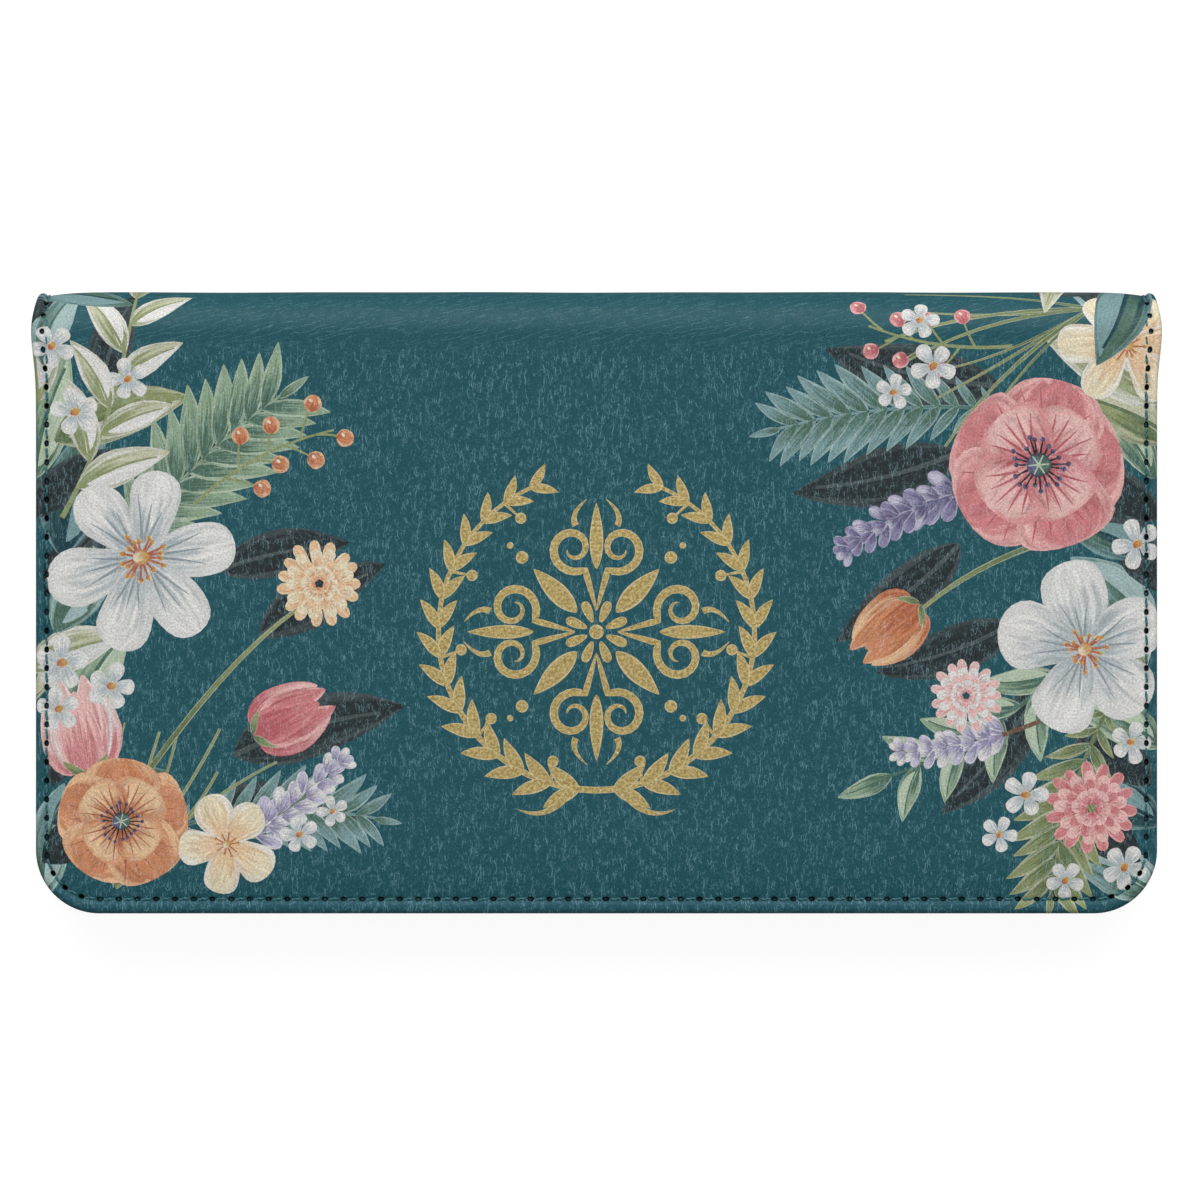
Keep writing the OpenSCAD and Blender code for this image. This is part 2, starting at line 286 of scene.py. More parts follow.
def layeredSheet(name, cut, outerDepth, innerDepth, side, material, shape, holes=(), rounding=0.12):
    # a closed sheet of some thickness: both faces share their border, and its edge is rounded
    flat, faces = cut
    onBorder = np.zeros(len(flat), bool)
    onBorder[np.concatenate(borderOf(faces))] = True
    used, faces = np.unique(faces[~onBorder[faces].all(axis=1)], return_inverse=True)
    flat, onBorder, faces = flat[used], onBorder[used], faces.reshape(-1, 3)
    x, s = flat[:, 0], flat[:, 1]
    atCrest = onBorder & shape["opened"] & (s > shape["high"] - 1e-4)

    def place(x, s, face, curve=None):
        if curve is None:
            near = edgeDistance(shape, x, s)[0]
            for hole in holes:
                near = np.minimum(near, -edgeDistance(hole, x, s)[0])
            curve = np.sqrt(1 - (1 - np.clip(near / rounding, 0, 1)) ** 2)
        top, bottom = outerDepth(x, s), innerDepth(x, s)
        return foldOver(x, s, (top + bottom) / 2 + face * (bottom - top) / 2 * curve, side)

    own = ~onBorder
    inner = np.arange(len(flat))
    inner[own] = len(flat) + np.arange(own.sum())
    outerPlaces = place(x, s, -1)
    outerPlaces[onBorder] = place(x[onBorder], s[onBorder], 1, np.where(atCrest[onBorder], 1.0, 0.0))
    flipped = faces[:, ::-1]
    shell = np.concatenate([faces, inner[flipped]] if side == "front" else [flipped, inner[faces]])
    piece = newPiece(name, np.concatenate([outerPlaces, place(x, s, 1)[own]]), shell, material)
    away = 1 if side == "front" else -1
    normals = outward(lambda x, s: place(x, s, -1), x, s) * away
    underside = outward(lambda x, s: place(x, s, 1), x, s) * -away
    normals[atCrest] = underside[atCrest]
    piece.data.normals_split_custom_set_from_vertices(np.concatenate([normals, underside[own]]).tolist())
    spread = np.concatenate([flat, flat[own]])
    setPlaces(piece, *spread.T)
    return piece


def hinge(piece, side, depth):
    # bakes the piece's transform; the ends of a bend at this depth are worked out but not used
    first, last = depth / 2, foldRadius - depth / 2
    low = Vector((0, foldY + first, first)) * millimetre
    high = Vector((0, foldY + last, last)) * millimetre
    if side == "back":
        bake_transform(piece)
    else:
        for point in (low, high):
            point.z = closedZ * millimetre - point.z
        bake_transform(piece)


# Materials

def tone(red, green, blue):
    def linear(level):
        level /= 255
        return level / 12.92 if level <= 0.04045 else ((level + 0.055) / 1.055) ** 2.4
    return (linear(red), linear(green), linear(blue))


def times(values, share):
    return tuple(value * share for value in values)


def feed(socket, value):
    # links a socket to another node's output, or sets the socket's own value
    if isinstance(value, bpy.types.NodeSocket):
        socket.id_data.links.new(value, socket)
    else:
        socket.default_value = value


def addNode(tree, kind, inputs=None, **settings):
    made = tree.nodes.new("ShaderNode" + kind)
    for key, value in settings.items():
        setattr(made, key, value)
    for key, value in (inputs or {}).items():
        feed(made.inputs[key], value)
    return made


def calculate(tree, operation, a, b=0.0, c=0.0):
    return addNode(tree, "Math", {0: a, 1: b, 2: c}, operation=operation).outputs[0]


def remap(tree, value, low, high, first=0.0, last=1.0):
    inputs = {"Value": value, "From Min": low, "From Max": high, "To Min": first, "To Max": last}
    return addNode(tree, "MapRange", inputs, interpolation_type="SMOOTHSTEP").outputs["Result"]


def mixLevels(tree, factor, a, b):
    return addNode(tree, "Mix", {0: factor, 2: a, 3: b}).outputs[0]


def mixColours(tree, factor, a, b, blend="MIX"):
    node = addNode(tree, "Mix", {0: factor}, data_type="RGBA", blend_type=blend)
    for index, value in ((6, a), (7, b)):
        feed(node.inputs[index], value if isinstance(value, bpy.types.NodeSocket) else (*value, 1))
    return node.outputs[2]


def shaded(tree, colour, level):
    # a colour made lighter or darker by a level from place to place
    grey = addNode(tree, "CombineColor", {0: level, 1: level, 2: level}).outputs[0]
    return mixColours(tree, 1.0, colour, grey, "MULTIPLY")


def partsOf(tree, vector):
    return addNode(tree, "SeparateXYZ", {0: vector}).outputs


def scaled(tree, vector, amounts):
    return addNode(tree, "VectorMath", {0: vector, 1: amounts}, operation="MULTIPLY").outputs[0]


def noise(tree, vector, scale, detail=2.0, roughness=0.5, output="Fac"):
    inputs = {"Vector": vector, "Scale": scale, "Detail": detail, "Roughness": roughness}
    return addNode(tree, "TexNoise", inputs).outputs[output]


def attribute(tree, name, output="Vector"):
    return addNode(tree, "Attribute", attribute_name=name).outputs[output]


def placeInMillimetres(tree):
    return scaled(tree, addNode(tree, "TexCoord").outputs["Object"], (1 / millimetre,) * 3)


def makeGroup(name, inputs, outputs):
    group = bpy.data.node_groups.new(name, "ShaderNodeTree")
    for label, kind, value in inputs:
        socket = group.interface.new_socket(label, in_out="INPUT", socket_type="NodeSocket" + kind)
        if value is not None:
            socket.default_value = value
    for label, kind in outputs:
        group.interface.new_socket(label, in_out="OUTPUT", socket_type="NodeSocket" + kind)
    return group, group.nodes.new("NodeGroupInput").outputs, group.nodes.new("NodeGroupOutput").inputs


def useGroup(tree, group, inputs):
    return addNode(tree, "Group", inputs, node_tree=group).outputs


grainForm = {                        # all per pebble
    "drift": 0.5,                    # how far the pattern wanders
    "strong": (0.64, 0.16, 1),       # how close the long creases are, across and along the panel
    "strongWidth": 0.1,
    "small": (1.25, 0.7, 1),         # the same for the short creases
    "smallWidth": 0.17,
    "wrinkles": (0.09, -0.14, 0.5),  # how close a bend's wrinkles are across, how they slant, and along
    "wrinkleWidth": 0.085,
    "patches": (0.7, 0.45, 1),       # how close the places are where creases are rubbed and given a painted sheen, and where they stay dull
}


def ridges(tree, vector, width, way):
    # thin lines of even width where a noise crosses its middle value; parts that run along the way fade out
    step = 0.06
    level = noise(tree, vector, 1.0, 1)
    moved = addNode(tree, "VectorMath", {0: vector, 1: times(way, step)}, operation="ADD").outputs[0]
    rise = calculate(tree, "SUBTRACT", noise(tree, moved, 1.0, 1), level)
    slope = calculate(tree, "DIVIDE", calculate(tree, "ABSOLUTE", rise), step)
    slope = calculate(tree, "MAXIMUM", slope, 0.02)
    away = calculate(tree, "ABSOLUTE", calculate(tree, "SUBTRACT", level, 0.5))
    return remap(tree, calculate(tree, "DIVIDE", away, slope), width * 0.3, width, 1.0, 0.0)


def grainGroup():
    # close broken creases that run up the panels, and longer slanting wrinkles where the leather bends
    group, given, result = makeGroup("leatherGrain", [
        ("Place", "Vector", None), ("Pebble", "Float", 1.0), ("Crossways", "Float", 0.0),
    ], [("Height", "Float"), ("CreaseSheen", "Float")])
    drift = addNode(group, "VectorMath", {
        0: noise(group, given["Place"], 0.8, output="Color"), 1: (grainForm["drift"],) * 3, 2: given["Place"],
    }, operation="MULTIPLY_ADD").outputs[0]
    perPebble = addNode(group, "VectorMath", {0: drift, 3: calculate(group, "DIVIDE", 1.0, given["Pebble"])},
                        operation="SCALE").outputs[0]
    parts = partsOf(group, perPebble)
    strong = ridges(group, scaled(group, perPebble, grainForm["strong"]), grainForm["strongWidth"], (1, 0, 0))
    small = ridges(group, scaled(group, perPebble, grainForm["small"]), grainForm["smallWidth"], (1, 0, 0))
    upright = calculate(group, "MAXIMUM", strong, calculate(group, "MULTIPLY", small, 0.6))
    acrossBend, slant, alongBend = grainForm["wrinkles"]
    rows = calculate(group, "MULTIPLY", parts[1], alongBend)
    slanted = addNode(group, "CombineXYZ", {
        0: calculate(group, "MULTIPLY", parts[0], acrossBend),
        1: calculate(group, "MULTIPLY_ADD", parts[0], slant, rows),
    }).outputs[0]
    across = ridges(group, slanted, grainForm["wrinkleWidth"], (0, 1, 0))
    across = calculate(group, "MAXIMUM", across, calculate(group, "MULTIPLY", small, 0.3))
    patchy = noise(group, scaled(group, perPebble, grainForm["patches"]), 1.0, 3, 0.65)
    # how much lighter each crease is painted: rubbed leather and a painted sheen on its ridges
    light = mixLevels(group, given["Crossways"],
                      calculate(group, "MULTIPLY", upright, remap(group, patchy, 0.42, 0.6)),
                      calculate(group, "MULTIPLY", across, remap(group, patchy, 0.36, 0.6, 0.08, 0.45)))
    crease = mixLevels(group, given["Crossways"], upright, across)
    fine = noise(group, perPebble, 2.6, 2, 0.55)
    raised = calculate(group, "MULTIPLY_ADD", crease, -0.4, calculate(group, "MULTIPLY", fine, 0.8))
    feed(result["CreaseSheen"], light)
    feed(result["Height"], calculate(group, "MULTIPLY_ADD", light, 0.5, raised))
    return group


def paintGroup():
    # brush marks: a colour at the root, one at the tip and one along the rim, streaked along the stroke
    group, given, result = makeGroup("brushMarks", [
        ("Place", "Vector", None), ("Root", "Color", None), ("Tip", "Color", None), ("Rim", "Color", None),
        ("Sheet", "Vector", None),
    ], [("Color", "Color")])
    parts = partsOf(group, given["Place"])
    bristles = (1.3, 3.2, 7.3)  # how fast the streaks change along a mark, across it and from mark to mark
    stroke = addNode(group, "CombineXYZ", {
        k: calculate(group, "MULTIPLY", parts[k], bristles[k]) for k in range(3)
    }).outputs[0]
    streak = calculate(group, "SUBTRACT", noise(group, stroke, 1.6, 4, 0.62), 0.5)
    along = calculate(group, "MULTIPLY_ADD", streak, 1.5, parts[0])
    body = mixColours(group, remap(group, along, 0.12, 0.78), given["Root"], given["Tip"])
    edge = calculate(group, "MULTIPLY_ADD", streak, 1.3, calculate(group, "ABSOLUTE", parts[1]))
    body = mixColours(group, remap(group, edge, 0.55, 1.02, 0.0, 0.75), body, given["Rim"])
    mottled = noise(group, given["Sheet"], 2.6, 3, 0.6)
    level = calculate(group, "MULTIPLY_ADD", streak, 0.9, remap(group, mottled, 0.2, 0.8, 0.9, 1.1))
    feed(result["Color"], shaded(group, body, level))
    return group


leatherGrain = grainGroup()
brushMarks = paintGroup()


def newMaterial(name, colour, roughness, **levels):
    material = bpy.data.materials.new(name)
    material.use_nodes = True
    material.diffuse_color = (*colour, 1)
    shader = material.node_tree.nodes["Principled BSDF"].inputs
    shader["Base Color"].default_value = (*colour, 1)
    shader["Roughness"].default_value = roughness
    for label, value in levels.items():
        shader[label.replace("_", " ")].default_value = value
    return material, material.node_tree, shader


def bumped(tree, shader, height, distance, strength=1.0):
    bump = addNode(tree, "Bump", {"Strength": strength, "Distance": distance * millimetre, "Height": height})
    feed(shader["Normal"], bump.outputs[0])


printedFinish = {
    "ground": (28, 83, 93),
    "rubbedSheen": (140, 184, 194),  # a crease's colour: rubbed light, with a painted sheen
    "creaseSheen": 0.42,        # how much lighter the creases are painted
    "pebble": 0.52,             # millimetres between creases
    "bump": 0.06,               # millimetres
    "roughness": 0.5,
    "gloss": 0.22,
    "gold": ((168, 143, 80), (228, 206, 142)),
    # colour of the painted highlight along the foil's pressed edges
    "rimHighlightGold": (252, 240, 200),
    "rimHighlightShare": 0.5,          # how much lighter the pressed edges of the foil are painted, as a painted highlight
    # colour of the painted glints on the gold foil
    "glint": (255, 246, 208),
    "foilRoughness": 0.4,
    "bend": (10.0, 14.5),       # millimetres from the crest where the wrinkles of the spine fade out
    "holeShade": (0.004, 0.005, 0.005),  # painted shade inside the needle holes, in shares of light, nearly black
}


def goldFoil(tree, place, fromMiddle):
    # flecked gold, with a painted highlight along the pressed rim of each line and painted glints
    flecks = remap(tree, noise(tree, place, 2.2, 3, 0.7), 0.34, 0.66)
    gold = mixColours(tree, flecks, *(tone(*colour) for colour in printedFinish["gold"]))
    # a painted highlight along the pressed rim of each line
    rimHighlight = remap(tree, fromMiddle, 0.72, 0.95, 0.0, printedFinish["rimHighlightShare"])
    gold = mixColours(tree, rimHighlight, gold, tone(*printedFinish["rimHighlightGold"]))
    # painted glints on the foil
    glints = remap(tree, noise(tree, scaled(tree, place, (1.0, 1.3, 1.0)), 2.7, 2, 0.6), 0.6, 0.7)
    return mixColours(tree, glints, gold, tone(*printedFinish["glint"]))


def printedLeather():
    roughness = printedFinish["roughness"]
    material, tree, shader = newMaterial("printedLeather", tone(*printedFinish["ground"]), roughness,
                                         Specular_IOR_Level=printedFinish["gloss"])
    place, inMark = attribute(tree, "sheetPlace"), attribute(tree, "paintPlace")
    fromCrest = calculate(tree, "ABSOLUTE", calculate(tree, "SUBTRACT", partsOf(tree, place)[1], crest))
    bend = remap(tree, fromCrest, *printedFinish["bend"], 1.0, 0.0)
    grain = useGroup(tree, leatherGrain,
                     {"Place": place, "Pebble": printedFinish["pebble"], "Crossways": bend})
    tones = {part: attribute(tree, "paint" + part, "Color") for part in ("Root", "Tip", "Rim")}
    colour = useGroup(tree, brushMarks, {"Place": inMark, "Sheet": place, **tones})["Color"]
    # the creases painted lighter: rubbed leather and a painted sheen
    rubbedSheen = calculate(tree, "MULTIPLY", grain["CreaseSheen"], printedFinish["creaseSheen"])
    colour = mixColours(tree, rubbedSheen, colour, tone(*printedFinish["rubbedSheen"]), "SCREEN")
    colour = shaded(tree, colour, remap(tree, noise(tree, place, 3.6, 2, 0.6), 0.3, 0.7, 0.76, 1.12))
    gold = goldFoil(tree, place, calculate(tree, "ABSOLUTE", partsOf(tree, inMark)[1]))
    worn = noise(tree, scaled(tree, place, (1.6, 1.0, 1.0)), 2.9, 3, 0.65)
    worn = remap(tree, worn, 0.69, 0.78, 1.0, 0.25)
    foil = calculate(tree, "MULTIPLY", attribute(tree, "paintRim", "Alpha"), worn)
    colour = mixColours(tree, foil, colour, gold)
    # the needle holes painted nearly black, as painted shade
    colour = mixColours(tree, attribute(tree, "needleHoleShade", "Fac"), colour, printedFinish["holeShade"])
    feed(shader["Base Color"], colour)
    feed(shader["Metallic"], calculate(tree, "MULTIPLY", foil, 0.6))
    matte = remap(tree, noise(tree, place, 0.35), 0.3, 0.7, roughness - 0.05, roughness + 0.06)
    feed(shader["Roughness"], mixLevels(tree, foil, matte, printedFinish["foilRoughness"]))
    bumped(tree, shader, grain["Height"], printedFinish["bump"])
    return material


# the pocket leather's creases are painted lighter: rubbed, with a painted sheen
pocketFinish = {
    "colour": (38, 84, 93), "rubbedSheen": (165, 188, 196), "pebble": 0.75, "bump": 0.05, "roughness": 0.5,
}


def plainLeather():
    colour, roughness = tone(*pocketFinish["colour"]), pocketFinish["roughness"]
    material, tree, shader = newMaterial("pocketLeather", colour, roughness, Specular_IOR_Level=0.3)
    place = attribute(tree, "sheetPlace")
    grain = useGroup(tree, leatherGrain, {"Place": place, "Pebble": pocketFinish["pebble"], "Crossways": 0.0})
    uneven = remap(tree, noise(tree, place, 2.4, 3), 0.3, 0.7)
    base = mixColours(tree, uneven, times(colour, 0.86), times(colour, 1.12))
    # the creases painted lighter: rubbed leather and a painted sheen
    rubbedSheen = calculate(tree, "MULTIPLY", grain["CreaseSheen"], 0.12)
    feed(shader["Base Color"], mixColours(tree, rubbedSheen, base, tone(*pocketFinish["rubbedSheen"]), "SCREEN"))
    feed(shader["Roughness"], remap(tree, grain["Height"], 0.0, 1.0, roughness + 0.08, roughness - 0.08))
    bumped(tree, shader, grain["Height"], pocketFinish["bump"])
    return material


liningFinish = {"colour": (40, 78, 86), "twill": 2.9, "bump": 0.03, "roughness": 0.62, "sheen": 0.25}


def wovenLining():
    # fine twill: threads over and under each other on a slant
    colour, twill = tone(*liningFinish["colour"]), liningFinish["twill"]
    material, tree, shader = newMaterial("wovenLining", colour, liningFinish["roughness"],
                                         Sheen_Weight=liningFinish["sheen"])
    place = attribute(tree, "sheetPlace")
    parts = partsOf(tree, place)
    waves = []
    for slope in (twill, -twill):
        slant = calculate(tree, "MULTIPLY_ADD", parts[1], slope, calculate(tree, "MULTIPLY", parts[0], twill))
        waves.append(calculate(tree, "SINE", calculate(tree, "MULTIPLY", slant, math.pi)))
    weave = calculate(tree, "MULTIPLY_ADD", waves[0], 0.45, calculate(tree, "MULTIPLY", *waves))
    uneven = noise(tree, scaled(tree, place, (0.6, 6.0, 1.0)), 1.0, 3)
    # darker and lighter along the twill: painted shade and light of the weave, with uneven yarn tone
    shade = remap(tree, calculate(tree, "MULTIPLY_ADD", uneven, 1.2, weave), -0.8, 1.8)
    feed(shader["Base Color"], mixColours(tree, shade, times(colour, 0.62), times(colour, 1.35)))
    bumped(tree, shader, weave, liningFinish["bump"], 0.8)
    return material


threadFinish = {"colour": (40, 102, 108), "twist": 7.5, "bump": 0.06, "roughness": 0.5, "sheen": 0.15}


def sewingThread():
    # two plies twisted round each other
    colour = tone(*threadFinish["colour"])
    material, tree, shader = newMaterial("sewingThread", colour, threadFinish["roughness"],
                                         Sheen_Weight=threadFinish["sheen"])
    place = attribute(tree, "strandPlace")
    parts = partsOf(tree, place)
    twist = calculate(tree, "MULTIPLY_ADD", parts[0], threadFinish["twist"],
                      calculate(tree, "MULTIPLY", parts[1], 2.0))
    ply = remap(tree, calculate(tree, "SINE", twist), -1.0, 0.4)
    fibres = noise(tree, scaled(tree, place, (9.0, 2.0, 1.0)), 1.4)
    # darker between the plies and lighter on their crowns: painted shade and light, with fibre tone
    shade = calculate(tree, "MULTIPLY", ply, remap(tree, fibres, 0.25, 0.75, 0.7, 1.15))
    feed(shader["Base Color"], mixColours(tree, shade, times(colour, 0.5), times(colour, 1.4)))
    bumped(tree, shader, ply, threadFinish["bump"])
    return material


foamFinish = {"colour": (222, 220, 208), "cells": 3.5, "bump": 0.1, "roughness": 0.9}


def foamRubber():
    colour = tone(*foamFinish["colour"])
    material, tree, shader = newMaterial("foamRubber", colour, foamFinish["roughness"])
    cells = addNode(tree, "TexVoronoi", {"Vector": placeInMillimetres(tree), "Scale": foamFinish["cells"]})
    depth = cells.outputs["Distance"]
    # darker in the pits of the cells: painted shade
    feed(shader["Base Color"], mixColours(tree, remap(tree, depth, 0.1, 0.7), times(colour, 0.7), colour))
    bumped(tree, shader, depth, foamFinish["bump"])
    return material


boardFinish = {"colour": (158, 152, 142), "specks": (96, 90, 82), "bump": 0.04, "roughness": 0.85}


def greyBoard():
    colour = tone(*boardFinish["colour"])
    material, tree, shader = newMaterial("greyBoard", colour, boardFinish["roughness"])
    place = placeInMillimetres(tree)
    fibres = noise(tree, scaled(tree, place, (1.0, 0.25, 1.0)), 2.4, 4, 0.65)
    specks = remap(tree, noise(tree, place, 3.0, 1), 0.66, 0.72)
    base = mixColours(tree, fibres, times(colour, 0.8), times(colour, 1.15))
    feed(shader["Base Color"], mixColours(tree, specks, base, tone(*boardFinish["specks"])))
    bumped(tree, shader, fibres, boardFinish["bump"])
    return material


vinylFinish = {"colour": (222, 236, 238), "alpha": (0.17, 0.22), "roughness": (0.1, 0.18), "bump": 0.2}


def clearVinyl():
    # clear film, hazed and scuffed by handling
    material, tree, shader = newMaterial("clearVinyl", tone(*vinylFinish["colour"]),
                                         vinylFinish["roughness"][0], Specular_IOR_Level=0.6)
    place = placeInMillimetres(tree)
    haze = noise(tree, place, 0.12, 3, 0.6)
    scuffs = remap(tree, noise(tree, scaled(tree, place, (0.4, 5.0, 1.0)), 0.5, 4, 0.7), 0.6, 0.75)
    for label, share in (("Roughness", 0.2), ("Alpha", 0.1)):
        hazed = calculate(tree, "MULTIPLY_ADD", scuffs, share, haze)
        feed(shader[label], remap(tree, hazed, 0.3, 0.8, *vinylFinish[label.lower()]))
    bumped(tree, shader, haze, vinylFinish["bump"], 0.4)
    return material


leatherPrint = printedLeather()
pocketLeather = plainLeather()
liningCloth = wovenLining()
thread = sewingThread()
foam = foamRubber()
card = greyBoard()
vinyl = clearVinyl()
print("materials made")

# The printed design. Each brush mark is a stroke with a width along it, in places on the outer sheet: the
# front panel from its free edge up, then over the spine and down the back.

palette = {
    "white": (222, 221, 218), "chalk": (206, 207, 205), "mist": (178, 187, 191), "slate": (142, 154, 160),
    "ash": (74, 84, 86), "charcoal": (38, 47, 50), "ink": (34, 36, 40), "deepTeal": (24, 64, 74),
    "paleOlive": (190, 191, 164), "olive": (140, 150, 104), "moss": (98, 116, 78), "sage": (140, 163, 136),
    "paleSage": (180, 196, 172), "fir": (76, 108, 92), "paleMint": (160, 184, 182), "mint": (120, 152, 154),
    "blush": (228, 184, 180), "coral": (204, 128, 130), "rose": (182, 92, 100), "peach": (226, 190, 150),
    "orange": (203, 137, 98), "rust": (176, 100, 66), "lavender": (192, 188, 208), "violet": (136, 130, 164),
    "plum": (96, 88, 124), "cream": (228, 216, 186), "ochre": (196, 152, 78), "bark": (112, 84, 66),
}
shades = {  # a mark's root, tip and rim
    "white": ("mist", "white", "chalk"),
    "cream": ("peach", "cream", "white"),
    "heart": ("rust", "ochre", "cream"),
    "coral": ("rose", "coral", "blush"),
    "blush": ("coral", "blush", "white"),
    "orange": ("rust", "orange", "peach"),
    "peach": ("orange", "peach", "cream"),
    "violet": ("plum", "violet", "lavender"),
    "lavender": ("violet", "lavender", "white"),
    "dark": ("charcoal", "charcoal", "ash"),
    "smoke": ("charcoal", "ash", "charcoal"),
    "olive": ("moss", "olive", "paleOlive"),
    "pale": ("olive", "paleOlive", "white"),
    "sage": ("fir", "sage", "paleSage"),
    "mint": ("fir", "mint", "paleMint"),
    "fir": ("deepTeal", "fir", "mint"),
}
forms = {  # how a stroke's width runs from its root to its tip
    "leaf": lambda t: np.sin(math.pi * t ** 0.8) ** 0.85,
    "petal": lambda t: np.sqrt(t * (1 - t ** 4)) / 0.74,
    "tulip": lambda t: np.sin(math.pi * t ** 0.62) ** 0.7,
    "drop": lambda t: t ** 0.9 * np.sqrt(1 - t) / 0.39,
    "round": lambda t: 2 * np.sqrt(t * (1 - t)),
    "stem": lambda t: 1 - 0.45 * t,
    "stroke": lambda t: np.sqrt(np.sin(math.pi * t)),
    "tail": lambda t: (1 - t) ** 0.6,
}
design = []
draw = random.Random(11)


def polar(point, angle, distance):
    turn = math.radians(angle)
    return (point[0] + distance * math.cos(turn), point[1] + distance * math.sin(turn))


def bowed(base, angle, length, bend, share=0.5):
    # a path that stands off the straight line by its bend
    middle = polar(polar(base, angle, length * share), angle + 90, bend * length)
    return base, middle, polar(base, angle, length)


def upTwig(path, count, first, share):
    # places up a bowed path, each with its number, how far up it is and which way the path heads
    a, b, c = np.array(path)
    for k in range(count):
        t = first + share * k / count
        slope = 2 * (1 - t) * (b - a) + 2 * t * (c - b)
        point = tuple(a * (1 - t) ** 2 + 2 * b * t * (1 - t) + c * t * t)
        yield k, t, point, math.degrees(math.atan2(slope[1], slope[0]))


def stroke(points, width, form, tones, foil=0.0, steps=11, waver=0.04):
    # a mark of one tone, or of three for its root, tip and rim
    t = (1 - np.cos(np.linspace(0, math.pi, steps))) / 2
    points = np.array(points, float)
    if len(points) == 3:
        a, b, c = points
        centre = a * ((1 - t) ** 2)[:, None] + 2 * b * (t * (1 - t))[:, None] + c * (t * t)[:, None]
    elif len(points) == 2:
        centre = points[0] * (1 - t)[:, None] + points[1] * t[:, None]
    else:
        lengths = np.concatenate([[0], np.cumsum(np.linalg.norm(np.diff(points, axis=0), axis=1))])
        centre = np.column_stack([np.interp(t * lengths[-1], lengths, points[:, k]) for k in (0, 1)])
    seed = len(design) * 0.37
    half = width / 2 * np.clip(forms[form](np.clip(t, 0, 1)), 0, None)
    half = half * (1 + waver * np.sin(9 * t + seed * 7))
    design.append({"t": t, "centre": centre, "half": half, "foil": foil, "seed": seed % 9.7,
                   "tones": (tones,) * 3 if isinstance(tones, str) else tones})


def outlineOfStroke(mark):
    heading = np.gradient(mark["centre"], axis=0)
    heading /= np.linalg.norm(heading, axis=1, keepdims=True) + 1e-9
    sideways = np.column_stack([-heading[:, 1], heading[:, 0]]) * mark["half"][:, None]
    wide = mark["half"] > 1e-3
    return np.concatenate([mark["centre"] + sideways, (mark["centre"] - sideways)[wide][::-1]])


def placeInStroke(mark, points):
    # how far along the stroke and how far across it each point is
    start, step = mark["centre"][:-1], np.diff(mark["centre"], axis=0)
    length = (step ** 2).sum(axis=1) + 1e-12
    away = points[:, None] - start[None]
    share = np.clip((away * step).sum(axis=2) / length, 0, 1)
    gap = away - share[..., None] * step
    nearest = (gap ** 2).sum(axis=2).argmin(axis=1)
    pick = np.arange(len(points))
    share, gap, step = share[pick, nearest], gap[pick, nearest], step[nearest]
    along = mark["t"][nearest] * (1 - share) + mark["t"][nearest + 1] * share
    half = mark["half"][nearest] * (1 - share) + mark["half"][nearest + 1] * share
    side = np.sign(step[:, 0] * gap[:, 1] - step[:, 1] * gap[:, 0])
    return along, np.clip(side * np.linalg.norm(gap, axis=1) / (half + 1e-3), -1.1, 1.1)


def spoke(centre, angle, near, far, width, form, tones, steps):
    # a straight mark along a line out from the centre
    stroke((polar(centre, angle, near), polar(centre, angle, far)), width, form, tones, steps=steps)


def stem(points, width, tones):
    stroke(points, width, "stem", tones, steps=12)


def leaf(base, angle, length, width, bend, tones, vein=None, light=None):
    path = bowed(base, angle, length, bend)
    stroke(path, width, "leaf", tones)
    if light:
        stroke((polar(base, angle, length * 0.1), polar(path[1], angle + 90, -width * 0.42),
                polar(base, angle, length * 0.93)), width * 0.44, "leaf", light)
    if vein:
        bulge = polar(polar(base, angle, length * 0.45), angle + 90, bend * length * 0.95)
        stroke((base, bulge, polar(base, angle, length * 0.86)), max(width * 0.09, 0.22), "stem", vein)


def withTipsSwapped(tones):
    return tones[0], tones[2], tones[1]


def blossom(centre, radius, petals, turn, broad, tones, shade, heart):
    # open petals round a heart of short stamens
    order = list(range(petals))
    draw.shuffle(order)
    for k in order:
        angle = turn + 360 / petals * k + draw.uniform(-7, 7)
        length = radius * draw.uniform(0.9, 1.06)
        start = polar(centre, angle, radius * 0.05)
        path = bowed(start, angle, length, draw.uniform(-0.09, 0.09))
        stroke(path, length * broad, "petal", tones, steps=14)
        for side in (-1, 0, 1):
            lean = angle + side * 13 * broad
            stroke((polar(centre, lean, radius * 0.16), polar(centre, lean + side * 3, radius * 0.4),
                    polar(centre, lean + side * 6, radius * draw.uniform(0.55, 0.74))),
                   radius * 0.05, "tail", (shade, shade, tones[1]), steps=6)
    stamens = max(7, round(radius * 1.3))
    for k in range(stamens):
        angle = turn + 360 / stamens * k + draw.uniform(-9, 9)
        reach = radius * draw.uniform(0.14, 0.27)
        spoke(centre, angle, radius * 0.03, reach, radius * 0.035, "stem", heart[0], 3)
        spoke(centre, angle, reach - radius * 0.03, reach + radius * 0.04, radius * 0.07, "round", heart, 6)
    spoke(centre, turn, -radius * 0.09, radius * 0.09, radius * 0.17, "round", heart[::-1], 8)


